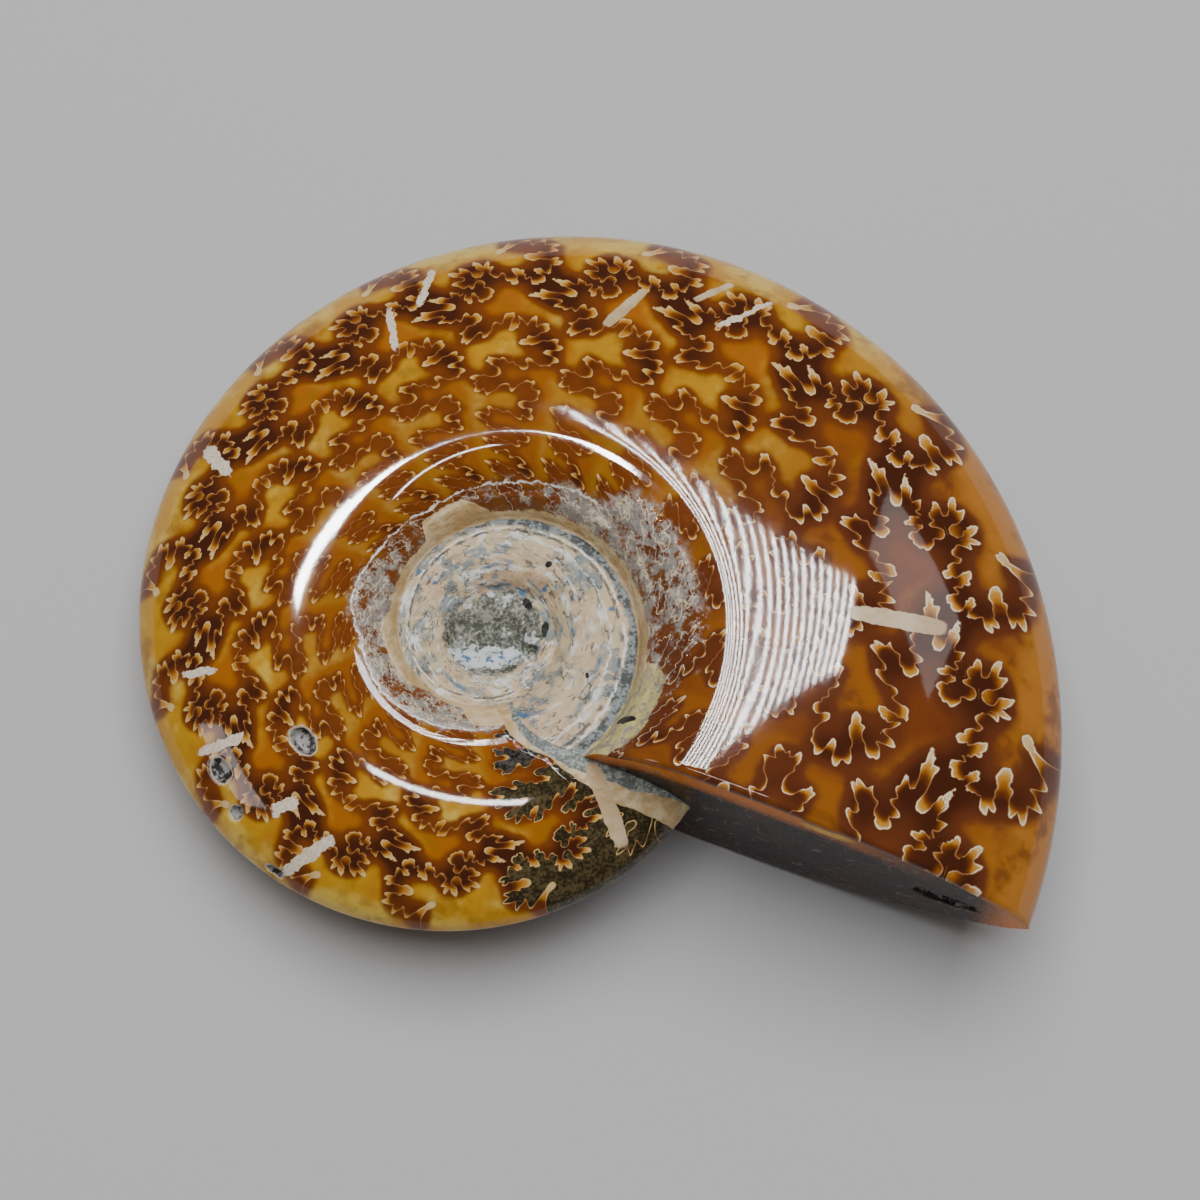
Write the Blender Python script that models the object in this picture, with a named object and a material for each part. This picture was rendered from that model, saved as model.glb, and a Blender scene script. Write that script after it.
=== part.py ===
"""A polished ammonite fossil, lying on one flank: one solid of calcite-filled shell.

The shell is a flat spiral. It grows by the same factor each turn, so one whorl section serves the
whole spiral, scaled by the venter radius at each angle. Both flanks are height surfaces over the
mid-plane. The flat aperture face closes the open end of the last whorl. The upper flank keeps its
pits, and a ledge of crust runs along each seam. Units are metres, +Z is up, and the origin is at
the bottom centre of the part's bounding box.
"""

import math

import bmesh
import bpy
from mathutils import Matrix, Vector

# Driving dimensions of the shell
SHELL_DIAMETER = 0.120  # through the pole, from the aperture's venter to the venter opposite
WHORL_EXPANSION = 2.35  # venter radius of a whorl over that of the whorl before it
HALF_THICKNESS = 0.200  # of the last whorl at its crest, as a share of the venter radius
CREST = 0.47  # where the whorl is thickest, from the pole (0) to the venter (1)
SEAM = 0.26  # where the whorl meets the one before it, on the same scale
VENTER_BLUNTNESS = 2.1  # exponent of the outer flank: 2 with a power of 0.5 is an ellipse
VENTER_SHARPNESS = 0.62  # power of the outer flank: nearer 1 is a sharper venter
SHOULDER_CURVE = 3.2  # exponent of the inner flank: larger keeps the crest flat for longer

# A ledge of crust runs along the seam, at the foot of the umbilical wall
LEDGE = 0.282  # its middle, from the pole to the venter
LEDGE_WIDTH = 0.016
LEDGE_HEIGHT = 0.009  # as a share of the venter radius, like the half thickness

# Where the aperture face stands on the older whorl, crust fills the corner
CORNER_CRUST = 0.030  # its greatest height, as a share of the venter radius
CORNER_REACH = math.radians(7.0)  # how far it spreads back from the face

# The lumps of the crust on the inner whorls
LUMP_HEIGHT = 0.00022
LUMP_SPACING = 0.0052

# The aperture face is a flat cut, square to the mid-plane
APERTURE_DIRECTION = math.radians(-21.2)  # its line in the mid-plane, from +X
APERTURE_OFFSET = 0.158  # distance of that line from the pole, as a share of the venter radius
TWIST_LIMIT = 0.80  # greatest sine of the twist that the cut gives the lattice near the pole

# How the shell lies
TILT_UP_TO_APERTURE = math.radians(3.2)  # rise of the mid-plane towards +X
TILT_UP_TO_BACK = math.radians(-2.8)  # rise of the mid-plane towards +Y
FLAT_DEPTH = 0.0003  # stone polished off where the lower flank rests

# Pits in the upper flank: turn in degrees and place from the pole to the venter, then the length
# along the spiral, the width across it, and the depth
PITS = {
    "pit_on_flank": (260.5, 0.646, 0.0040, 0.0026, 0.0011),
    "pit_near_venter": (255.0, 0.928, 0.0019, 0.0019, 0.0009),
    "worn_patch": (247.6, 0.885, 0.0034, 0.0028, 0.0004),
    "nick_in_venter": (266.5, 0.985, 0.0026, 0.0014, 0.0007),
    "chip_in_rim": (0.4, 0.640, 0.0022, 0.0050, 0.0008),
    "hole_in_first_whorl": (49.0, 0.072, 0.0022, 0.0013, 0.0012),
}

# The hollow in the aperture face, near its venter end
HOLLOW_PLACE = 0.86  # from the pole to the venter
HOLLOW_LENGTH = 0.0080
HOLLOW_THICKNESS = 0.0030
HOLLOW_DEPTH = 0.0014

# Lattice: angles round the pole, and rows from the venter to the pole
ANGLES = 64
OUTER_ROWS = 7  # on the outer flank, which the next whorl would cover
INNER_STEPS = (0.0, 0.18, 0.36, 0.54, 0.70, 0.84, 0.92, 0.97)  # of a whorl's rows, to its seam
OLDER_WHORLS = 2
CUTTER_SEGMENTS = 12
CUTTER_RINGS = 8

INNER_ROWS = len(INNER_STEPS)
VENTER_RADIUS = SHELL_DIAMETER / (1.0 + WHORL_EXPANSION**-0.5)
GROWTH = math.log(WHORL_EXPANSION) / math.tau
BURIED = SEAM * WHORL_EXPANSION  # where the next whorl's seam lies on a whorl


def bell(distance):
    """Falls from 1 at no distance to nearly 0 at 1.5, flat-topped and smooth."""
    return math.exp(-(distance**4))


def whorl_half_thickness(s):
    """Half thickness of one whorl at s of the way from the pole to the venter, over its radius."""
    if s >= CREST:
        outwards = (s - CREST) / (1.0 - CREST)
        return HALF_THICKNESS * (1.0 - outwards**VENTER_BLUNTNESS) ** VENTER_SHARPNESS
    seam_height = whorl_half_thickness(BURIED) / WHORL_EXPANSION
    inwards = (CREST - s) / (CREST - SEAM)
    wall = HALF_THICKNESS - (HALF_THICKNESS - seam_height) * inwards**SHOULDER_CURVE
    return wall + LEDGE_HEIGHT * bell((s - LEDGE) / LEDGE_WIDTH)


def half_thickness(s):
    """Half thickness of the shell: that of the last whorl, or inside its seam of an older whorl."""
    scale = 1.0
    while s < SEAM * (1.0 - 1e-6):
        s *= WHORL_EXPANSION
        scale /= WHORL_EXPANSION
    return scale * whorl_half_thickness(min(s, 1.0))


def corner_crust(turn, s):
    """Height of the crust in the corner between the aperture face and the older whorl."""
    nearness = 1.0 - (math.tau - turn) / CORNER_REACH
    if nearness <= 0.0 or s <= BURIED:
        return 0.0
    across = (s - BURIED) / (1.0 - BURIED)
    return CORNER_CRUST * nearness**2 * math.sin(math.pi * across**1.4)


def lumps(x, y, s):
    """Height of the crust's lumps over the smooth inner whorls, fading out at the seam."""
    fade = min(max((SEAM - s) / (0.2 * SEAM), 0.0), 1.0)
    wave = math.tau / LUMP_SPACING
    along = math.sin(wave * (x + 0.4 * y)) + 0.7 * math.sin(wave * 1.7 * (y - 0.3 * x) + 1.0)
    across = math.cos(wave * (y - 0.5 * x))
    return LUMP_HEIGHT * fade * along * across


def cut_twist(radius):
    """Angle of the aperture's line at a radius, from where the line meets the venter.

    Inside the seam, where there is no aperture face, the sine levels off at TWIST_LIMIT.
    """
    sine = APERTURE_OFFSET * VENTER_RADIUS / radius
    sine_at_seam = APERTURE_OFFSET / SEAM
    if sine > sine_at_seam:
        room = TWIST_LIMIT - sine_at_seam
        sine = sine_at_seam + room * math.tanh((sine - sine_at_seam) / room)
    return math.asin(APERTURE_OFFSET) - math.asin(sine)


def lattice_point(turn, s, side):
    """Point on a flank, turn radians back from the aperture's line and s of the way to the venter.

    The radius shrinks by the growth law with the true angle, which the cut's twist changes a
    little, so a few steps of substitution settle both.
    """
    angle = turn
    for _ in range(20):
        venter = VENTER_RADIUS * math.exp(-GROWTH * angle)
        angle = turn + cut_twist(s * venter)
    direction = APERTURE_DIRECTION - math.asin(APERTURE_OFFSET) + angle
    x = s * venter * math.cos(direction)
    y = s * venter * math.sin(direction)
    height = venter * (half_thickness(s) + corner_crust(turn, s)) + lumps(x, y, s)
    return Vector((x, y, side * height))


def row_positions():
    """Rows from the venter inwards. Inside the seam they repeat, smaller by one whorl each time."""
    outer = [1.0 - (1.0 - BURIED) * (n / OUTER_ROWS) ** 1.5 for n in range(OUTER_ROWS)]
    rows = list(outer)
    for older in range(OLDER_WHORLS + 1):
        rows += [BURIED * WHORL_EXPANSION ** -(older + step) for step in INNER_STEPS]
    return rows + [BURIED * WHORL_EXPANSION ** -(OLDER_WHORLS + 1)]


def build_flank(mesh, rows, side, venter_line):
    """Adds one flank to the mesh and returns its lattice as lists of vertices, one per angle.

    After a full turn the lattice meets its own start, INNER_ROWS rows further in. Outside the seam
    it doesn't: that is where the aperture face stands.
    """
    last = len(rows) - 1
    lattice = []
    for step in range(ANGLES + 1):
        column = [venter_line[step]]
        for row in range(1, last + 1):
            meets_start = step == ANGLES and OUTER_ROWS <= row <= last - INNER_ROWS
            if meets_start:
                column.append(lattice[0][row + INNER_ROWS])
            else:
                turn = math.tau * step / ANGLES
                column.append(mesh.verts.new(lattice_point(turn, rows[row], side)))
        lattice.append(column)
    for step in range(ANGLES):
        for row in range(last):
            corners = [
                lattice[step][row],
                lattice[step + 1][row],
                lattice[step + 1][row + 1],
                lattice[step][row + 1],
            ]
            mesh.faces.new(corners if side > 0 else corners[::-1])
    return lattice


def close_pole(mesh, lattice, side):
    """Closes the middle of a flank with a fan round the first chamber."""
    last = len(lattice[0]) - 1
    ring = [column[last] for column in lattice]
    ring += [lattice[ANGLES][row] for row in range(last - 1, last - INNER_ROWS, -1)]
    height = sum(vertex.co.z for vertex in ring) / len(ring)
    pole = mesh.verts.new((0.0, 0.0, height))
    for here, there in zip(ring, ring[1:] + ring[:1]):
        corners = [here, there, pole]
        mesh.faces.new(corners if side > 0 else corners[::-1])


def close_aperture(mesh, upper, lower):
    """Closes the open end with one flat face: the last section less the notch of the older whorl."""
    seam_row = OUTER_ROWS + INNER_ROWS
    rim = [upper[0][row] for row in range(seam_row + 1)]
    notch = [upper[ANGLES][row] for row in range(OUTER_ROWS - 1, -1, -1)]
    notch += [lower[ANGLES][row] for row in range(1, OUTER_ROWS)]
    rim_below = [lower[0][row] for row in range(seam_row, 0, -1)]
    mesh.faces.new(rim + notch + rim_below)


def lay_down(mesh):
    """Tips the shell to the way it lies and polishes flats where its lower flank rests.

    Returns the move from the shell's own frame, with its pole at the origin, to the part's.
    """
    tilt = Matrix.Rotation(-TILT_UP_TO_APERTURE, 4, "Y") @ Matrix.Rotation(TILT_UP_TO_BACK, 4, "X")
    bmesh.ops.transform(mesh, matrix=tilt, verts=mesh.verts)
    floor = min(vertex.co.z for vertex in mesh.verts) + FLAT_DEPTH
    cut = bmesh.ops.bisect_plane(
        mesh,
        geom=mesh.verts[:] + mesh.edges[:] + mesh.faces[:],
        plane_co=(0.0, 0.0, floor),
        plane_no=(0.0, 0.0, 1.0),
        clear_inner=True,
    )
    open_edges = [item for item in cut["geom_cut"] if isinstance(item, bmesh.types.BMEdge)]
    bmesh.ops.holes_fill(mesh, edges=open_edges)
    low = Vector([min(vertex.co[axis] for vertex in mesh.verts) for axis in range(3)])
    high = Vector([max(vertex.co[axis] for vertex in mesh.verts) for axis in range(3)])
    centre = Vector(((low.x + high.x) / 2, (low.y + high.y) / 2, low.z))
    bmesh.ops.translate(mesh, vec=-centre, verts=mesh.verts)
    return Matrix.Translation(-centre) @ tilt


def build_shell():
    """The fossil as one closed body without its pits, and the move that lays it down."""
    mesh = bmesh.new()
    rows = row_positions()
    venter_line = []
    for step in range(ANGLES + 1):
        venter_line.append(mesh.verts.new(lattice_point(math.tau * step / ANGLES, 1.0, 0.0)))
    upper = build_flank(mesh, rows, 1.0, venter_line)
    lower = build_flank(mesh, rows, -1.0, venter_line)
    close_pole(mesh, upper, 1.0)
    close_pole(mesh, lower, -1.0)
    close_aperture(mesh, upper, lower)
    placement = lay_down(mesh)
    bmesh.ops.triangulate(mesh, faces=mesh.faces[:])
    data = bpy.data.meshes.new("ammonite")
    mesh.to_mesh(data)
    mesh.free()
    data.shade_smooth()
    data.set_sharp_from_angle(angle=math.radians(35.0))
    return data, placement


def frame_at(point, along, across):
    """Matrix at a point whose X runs along, whose Z is square to along and across."""
    x_axis = along.normalized()
    z_axis = along.cross(across).normalized()
    y_axis = z_axis.cross(x_axis)
    turned = Matrix((x_axis, y_axis, z_axis)).transposed()
    return Matrix.Translation(point) @ turned.to_4x4()


def flank_frame(turn, s):
    """Frame on the upper flank: X back along the spiral, Y inwards, Z out of the stone."""
    step = 0.002
    point = lattice_point(turn, s, 1.0)
    along = lattice_point(turn + step, s, 1.0) - point
    across = lattice_point(turn, s * (1.0 - step), 1.0) - point
    return frame_at(point, along, across)


def face_frame(s):
    """Frame on the aperture face at half height: X towards the venter, Z out of the stone."""
    point = lattice_point(0.0, s, 0.0)
    outwards = lattice_point(0.0, 1.0, 0.0) - point
    return frame_at(point, outwards, Vector((0.0, 0.0, 1.0)))


def ellipsoid_cutter(name, placement, length, width, depth):
    """A half-sunk ellipsoid that takes a pit out of the shell."""
    mesh = bmesh.new()
    bmesh.ops.create_uvsphere(
        mesh, u_segments=CUTTER_SEGMENTS, v_segments=CUTTER_RINGS, radius=1.0
    )
    size = Matrix.Diagonal((length / 2, width / 2, depth, 1.0))
    bmesh.ops.transform(mesh, matrix=placement @ size, verts=mesh.verts)
    data = bpy.data.meshes.new(name)
    mesh.to_mesh(data)
    mesh.free()
    cutter = bpy.data.objects.new(name, data)
    cutter.hide_render = True
    cutter.display_type = "WIRE"
    bpy.context.scene.collection.objects.link(cutter)
    return cutter


def cut_out(shell, cutter):
    """Takes a cutter's shape out of the shell."""
    cut = shell.modifiers.new(cutter.name, "BOOLEAN")
    cut.operation = "DIFFERENCE"
    cut.object = cutter


def polished_calcite():
    """Brown and amber calcite under a wax-smooth polish."""
    material = bpy.data.materials.new("polished_calcite")
    material.use_nodes = True
    surface = material.node_tree.nodes["Principled BSDF"]
    surface.inputs["Base Color"].default_value = (0.30, 0.11, 0.02, 1.0)
    surface.inputs["Roughness"].default_value = 0.12
    surface.inputs["Metallic"].default_value = 0.0
    return material


def main():
    for item in list(bpy.data.objects):
        bpy.data.objects.remove(item)
    data, placement = build_shell()
    shell = bpy.data.objects.new("ammonite", data)
    shell.data.materials.append(polished_calcite())
    bpy.context.scene.collection.objects.link(shell)
    for name, (turn, s, length, width, depth) in PITS.items():
        at = placement @ flank_frame(math.radians(turn), s)
        cut_out(shell, ellipsoid_cutter(name, at, length, width, depth))
    at = placement @ face_frame(HOLLOW_PLACE)
    hollow = ellipsoid_cutter("hollow", at, HOLLOW_LENGTH, HOLLOW_THICKNESS, HOLLOW_DEPTH)
    cut_out(shell, hollow)


main()
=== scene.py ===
"""A polished ammonite fossil on a pale floor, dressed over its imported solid."""

import math

import bpy
import numpy as np
from mathutils import Matrix, Vector


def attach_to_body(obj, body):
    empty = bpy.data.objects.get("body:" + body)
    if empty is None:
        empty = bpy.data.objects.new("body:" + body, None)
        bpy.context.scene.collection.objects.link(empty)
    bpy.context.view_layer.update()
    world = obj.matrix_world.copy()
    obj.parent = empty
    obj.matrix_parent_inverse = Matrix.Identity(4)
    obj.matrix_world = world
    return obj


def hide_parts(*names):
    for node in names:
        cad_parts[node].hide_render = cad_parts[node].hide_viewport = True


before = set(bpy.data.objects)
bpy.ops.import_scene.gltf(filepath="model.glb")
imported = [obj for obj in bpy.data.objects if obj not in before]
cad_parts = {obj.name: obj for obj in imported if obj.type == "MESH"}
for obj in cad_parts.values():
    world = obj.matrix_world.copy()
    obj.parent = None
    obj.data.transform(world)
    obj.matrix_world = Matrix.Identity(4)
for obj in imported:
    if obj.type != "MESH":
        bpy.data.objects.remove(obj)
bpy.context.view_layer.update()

# The camera looks down on the fossil from a little to its front, through a short telephoto lens.
# Its place and its turns in degrees put the solid's outline where the real one's is in the picture.
LENS = 72.0
FILM_WIDTH = 36.0
CAMERA_PLACE = (-0.00057, -0.08864, 0.29571)
CAMERA_TURNS = (16.614, -0.2306, -0.3050)
view = bpy.data.cameras.new("camera")
view.sensor_width = FILM_WIDTH
view.lens = LENS
view.clip_start = 0.01
camera = bpy.data.objects.new("camera", view)
camera.location = CAMERA_PLACE
camera.rotation_euler = [math.radians(angle) for angle in CAMERA_TURNS]
bpy.context.scene.collection.objects.link(camera)
bpy.context.scene.camera = camera

# The shell is one piece of stone: a flat spiral tube that calcite has filled, cut off flat at the
# aperture and polished all over. Each turn is the same whorl, smaller by one fixed factor, so both
# flanks are height surfaces over the mid-plane. Its section is given in shares of the radius.
SHELL_DIAMETER = 0.120
WHORL_EXPANSION = 2.35
VENTER_RADIUS = SHELL_DIAMETER / (1.0 + WHORL_EXPANSION**-0.5)
WHORL_STEP = math.log(WHORL_EXPANSION)
GROWTH = WHORL_STEP / math.tau
HALF_THICKNESS = 0.200
CREST = 0.47
SEAM = 0.26
BURIED = SEAM * WHORL_EXPANSION
VENTER_BLUNTNESS = 2.1
VENTER_SHARPNESS = 0.62
SHOULDER_CURVE = 3.2
LEDGE = 0.282
LEDGE_WIDTH = 0.016
LEDGE_HEIGHT = 0.009


def wall_height(s):
    """Half thickness of one whorl over its radius, s of the way from the pole to the venter.

    Outside the crest it falls like a superellipse to the venter. Inside it stays flat, then drops
    down the umbilical wall, where a narrow bell of crust makes a ledge.
    """
    outwards = np.clip((s - CREST) / (1.0 - CREST), 0.0, 1.0)
    outer = HALF_THICKNESS * (1.0 - outwards**VENTER_BLUNTNESS) ** VENTER_SHARPNESS
    buried = (BURIED - CREST) / (1.0 - CREST)
    seam_height = HALF_THICKNESS * (1.0 - buried**VENTER_BLUNTNESS) ** VENTER_SHARPNESS
    drop = HALF_THICKNESS - seam_height / WHORL_EXPANSION
    inwards = np.clip((CREST - s) / (CREST - SEAM), 0.0, 1.0)
    ledge = LEDGE_HEIGHT * np.exp(-(((s - LEDGE) / LEDGE_WIDTH) ** 4))
    return np.where(s >= CREST, outer, HALF_THICKNESS - drop * inwards**SHOULDER_CURVE + ledge)


def shell_height(s):
    """Half thickness of the shell: an older whorl is the same shape, smaller by whole steps."""
    older = np.maximum(np.ceil(np.log(SEAM / s) / WHORL_STEP - 1e-6), 0.0)
    scale = WHORL_EXPANSION**older
    return wall_height(np.minimum(s * scale, 1.0)) / scale


# The aperture is one straight saw cut that passes the pole at a distance.
APERTURE_DIRECTION = math.radians(-21.2)
APERTURE_OFFSET = 0.158
TWIST_LIMIT = 0.80
TWIST_ROUNDS = 20


def cut_twist(radius):
    """Angle of the cut's line at a radius, from where the line meets the venter.

    The line's distance from the pole over the radius is the sine of that angle. Inside the seam a
    tanh levels the sine off below its limit, so that the lattice can run on to the pole.
    """
    sine = APERTURE_OFFSET * VENTER_RADIUS / radius
    sine_at_seam = APERTURE_OFFSET / SEAM
    room = TWIST_LIMIT - sine_at_seam
    levelled = sine_at_seam + room * np.tanh((sine - sine_at_seam) / room)
    return math.asin(APERTURE_OFFSET) - np.arcsin(np.where(sine > sine_at_seam, levelled, sine))


def spiral_place(turn, s):
    """Angle round the pole and radius of lattice points, turn radians back from the aperture.

    The radius is s times the venter's, which is multiplied by e to the power of minus the growth
    times the angle. The angle is the turn plus the cut's twist at that radius, so the two are
    settled by substitution.
    """
    angle = turn + 0.0 * s
    for _ in range(TWIST_ROUNDS):
        venter = VENTER_RADIUS * np.exp(-GROWTH * angle)
        angle = turn + cut_twist(s * venter)
    return angle, s * venter


def eased(low, high, value):
    """Rises from 0 at low to 1 at high as 3 times the square less 2 times the cube of the share."""
    share = np.clip((value - low) / (high - low), 0.0, 1.0)
    return share * share * (3.0 - 2.0 * share)


CORNER_CRUST = 0.030
CORNER_REACH = math.radians(7.0)
LUMP_HEIGHT = 0.00022
LUMP_SPACING = 0.0052


def relief(turn, s, x, y):
    """Height of crust and lumps over the smooth shell, in metres.

    Crust in the corner grows with the square of the nearness to the face, under half a sine wave
    across the flank. Inside the seam, products of slanting sine waves make the lumps.
    """
    nearness = np.clip(1.0 - (math.tau - turn) / CORNER_REACH, 0.0, 1.0)
    across = np.clip((s - BURIED) / (1.0 - BURIED), 0.0, 1.0)
    venter = VENTER_RADIUS * np.exp(-GROWTH * turn)
    corner = CORNER_CRUST * venter * nearness**2 * np.sin(math.pi * across**1.4)
    fade = np.clip((SEAM - s) / (0.2 * SEAM), 0.0, 1.0)
    wave = math.tau / LUMP_SPACING
    along = np.sin(wave * (x + 0.4 * y)) + 0.7 * np.sin(wave * 1.7 * (y - 0.3 * x) + 1.0)
    lumps = LUMP_HEIGHT * fade * along * np.cos(wave * (y - 0.5 * x))
    return corner + lumps


def flank_points(turn, s):
    """Points of the upper flank over the mid-plane, with the pole at the origin.

    Each lies at its spiral place, as high as the venter's radius there times the section's height,
    with the relief on top.
    """
    angle, radius = spiral_place(turn, s)
    direction = APERTURE_DIRECTION - math.asin(APERTURE_OFFSET) + angle
    x, y = radius * np.cos(direction), radius * np.sin(direction)
    height = (radius / s) * shell_height(s) + relief(turn, s, x, y)
    return np.stack((x, y, height), axis=-1)


# Rows run from the venter in to the seam. The outer ones follow the arc of the section, and the
# inner ones repeat them one whorl further in, so that the rim faces the notch row by row.
OUTER_ROWS = 48
MIDDLE_ROWS = 30
TURN_ROWS = MIDDLE_ROWS + OUTER_ROWS
ARC_SAMPLES = 4000
arc_s = np.linspace(1.0, BURIED, ARC_SAMPLES)
arc_step = np.hypot(np.diff(arc_s), np.diff(wall_height(arc_s))) / arc_s[1:]
arc_length = np.concatenate(((0.0,), np.cumsum(arc_step)))
outer_depth = -np.log(np.interp(np.linspace(0.0, arc_length[-1], OUTER_ROWS + 1), arc_length, arc_s))
middle_depth = np.linspace(outer_depth[-1], WHORL_STEP, MIDDLE_ROWS + 1)
depth = np.concatenate((outer_depth, middle_depth[1:], WHORL_STEP + outer_depth[1:]))

# Columns run back from the aperture. The first few lie close together and bend the rim over, by a
# quarter circle that fades out towards the corner and never takes more than a share of the height.
ANGLES = 520
RIM_STEPS = 6
RIM_ROUNDING = 0.0009
RIM_FADE = (1.30, 1.12)
MOST_RIM_DROP = 0.8
bend = np.linspace(0.0, math.pi / 2.0, RIM_STEPS + 1)
radius_at_start = VENTER_RADIUS * np.exp(-depth)
cut_reach = np.sqrt(radius_at_start**2 - (APERTURE_OFFSET * VENTER_RADIUS) ** 2)
rim_turn = RIM_ROUNDING * (1.0 - np.cos(bend))[:, None] / cut_reach[None, :]
rest = np.linspace(0.0, 1.0, ANGLES - RIM_STEPS + 1)[1:, None]
turn = np.concatenate((rim_turn, rim_turn[-1:] + (math.tau - rim_turn[-1:]) * rest))
share = np.exp(-depth)[None, :] + 0.0 * turn
upper = flank_points(turn, share)
lower = upper * (1.0, 1.0, -1.0)
rim_fade = eased(*RIM_FADE, depth)
rim_drop = RIM_ROUNDING * (1.0 - np.sin(bend))[:, None] * rim_fade[None, :]
rim_drop = np.minimum(rim_drop, MOST_RIM_DROP * upper[: RIM_STEPS + 1, :, 2])
upper[: RIM_STEPS + 1, :, 2] -= rim_drop
lower[: RIM_STEPS + 1, :, 2] += rim_drop


# Inside the seam lie the older whorls, broken down to rough rock at the middle. Angles there are
# counted from a little before the aperture, so that the shell's step from whorl to whorl falls there.
UMBILICUS_RINGS = (28, 8)
UNDERSIDE_RINGS = (12, 4)
FIRST_WHORL_RADIUS = 0.0055
EARLY_START = 0.7
ROUGHNESS_OF_CORE = 0.00016
LOST_POLISH = (0.0, 0.3)
FINE_GRAINS = 1500.0
COARSE_GRAINS = 600.0


def ripple(x, y, seed):
    """Smooth noise from -1 to 1: random values on a unit grid, joined by an eased blend."""
    values = np.random.default_rng(seed).uniform(-1.0, 1.0, (256, 256))
    column, row = np.floor(x).astype(int), np.floor(y).astype(int)
    across, up = x - column, y - row
    across, up = across**2 * (3.0 - 2.0 * across), up**2 * (3.0 - 2.0 * up)
    near = values[column % 256, row % 256] * (1.0 - across) + values[(column + 1) % 256, row % 256] * across
    far = values[column % 256, (row + 1) % 256] * (1.0 - across)
    far += values[(column + 1) % 256, (row + 1) % 256] * across
    return near * (1.0 - up) + far * up


def inner_rings(loop, ring_counts, side):
    """Rings from the seam's loop in to a small circle, then on to the pole.

    The loop runs along the seam for one turn and back out along the aperture's line, so the rings
    change from its shape to the circle's by a straight blend of the two. Their heights are the
    shell's at that place, and on the upper side two sizes of grains are added.
    """
    steps_in, steps_to_pole = ring_counts
    around = np.linspace(0.0, math.tau, len(loop), endpoint=False)
    start = math.atan2(loop[0, 1], loop[0, 0])
    circle = FIRST_WHORL_RADIUS * np.stack((np.cos(start + around), np.sin(start + around)), axis=-1)
    part = np.linspace(0.0, 1.0, steps_in + 1)[1:, None, None]
    blend = loop[None, :, :2] * (1.0 - part) + circle * part
    shrink = np.linspace(1.0, 0.0, steps_to_pole + 1)[1:-1, None, None]
    plan = np.concatenate((blend, circle * shrink))
    x, y = plan[..., 0], plan[..., 1]
    radius = np.hypot(x, y)
    angle = np.arctan2(y, x) - APERTURE_DIRECTION + math.asin(APERTURE_OFFSET)
    angle = np.mod(angle + EARLY_START, math.tau) - EARLY_START
    s = radius / (VENTER_RADIUS * np.exp(-GROWTH * angle))
    height = (radius / s) * shell_height(s) + relief(0.0 * s, s, x, y)
    if side > 0.0:
        grains = ripple(FINE_GRAINS * x, FINE_GRAINS * y, 3)
        grains = grains + 1.5 * ripple(COARSE_GRAINS * x, COARSE_GRAINS * y, 4)
        ring = np.arange(len(plan))[:, None] / steps_in
        height += ROUGHNESS_OF_CORE * grains * eased(*LOST_POLISH, ring)
    return np.concatenate((plan, side * height[..., None]), axis=-1)


def numbered(count_before, shape):
    """Numbers for a block of new points: the count before it and on by ones, in its shape."""
    return count_before + np.arange(shape[0] * shape[1]).reshape(shape)


def quilt(grid, flip=False):
    """Triangles of a grid of point numbers, two to a cell, turned over if flip is true."""
    first, second = grid[:-1, :-1].ravel(), grid[1:, :-1].ravel()
    third, fourth = grid[1:, 1:].ravel(), grid[:-1, 1:].ravel()
    cells = np.concatenate((np.stack((first, second, third), 1), np.stack((first, third, fourth), 1)))
    return cells[:, ::-1] if flip else cells


def seam_in(fine, coarse, flip=False):
    """Triangles between a line of points and one with half as many, three to each coarse step."""
    start, middle, end = fine[0:-2:2], fine[1:-1:2], fine[2::2]
    near, far = coarse[:-1], coarse[1:]
    cells = [(start, middle, near), (middle, far, near), (middle, end, far)]
    cells = np.concatenate([np.stack(corners, 1) for corners in cells])
    return cells[:, ::-1] if flip else cells


def closed(line):
    """A loop of point numbers with its first point repeated at its end."""
    return np.concatenate((line, line[:1]))


# The upper flank keeps every column and row. The lower one has every second, and shares the venter.
# Past the seam the rings have half the loop's points, and a fan closes each pole.
upper_numbers = numbered(0, turn.shape)
upper_numbers[-1, OUTER_ROWS] = upper_numbers[0, -1]
points = [upper.reshape(-1, 3)]
count = upper_numbers.size
lower_numbers = numbered(count, turn[::2, ::2].shape)
lower_numbers[:, 0] = upper_numbers[::2, 0]
lower_numbers[-1, OUTER_ROWS // 2] = lower_numbers[0, -1]
points.append(lower[::2, ::2].reshape(-1, 3))
count += lower_numbers.size
triangles = [quilt(upper_numbers), quilt(lower_numbers[:, 1:], flip=True)]
triangles.append(seam_in(upper_numbers[:, 0], lower_numbers[:, 1], flip=True))

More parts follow.
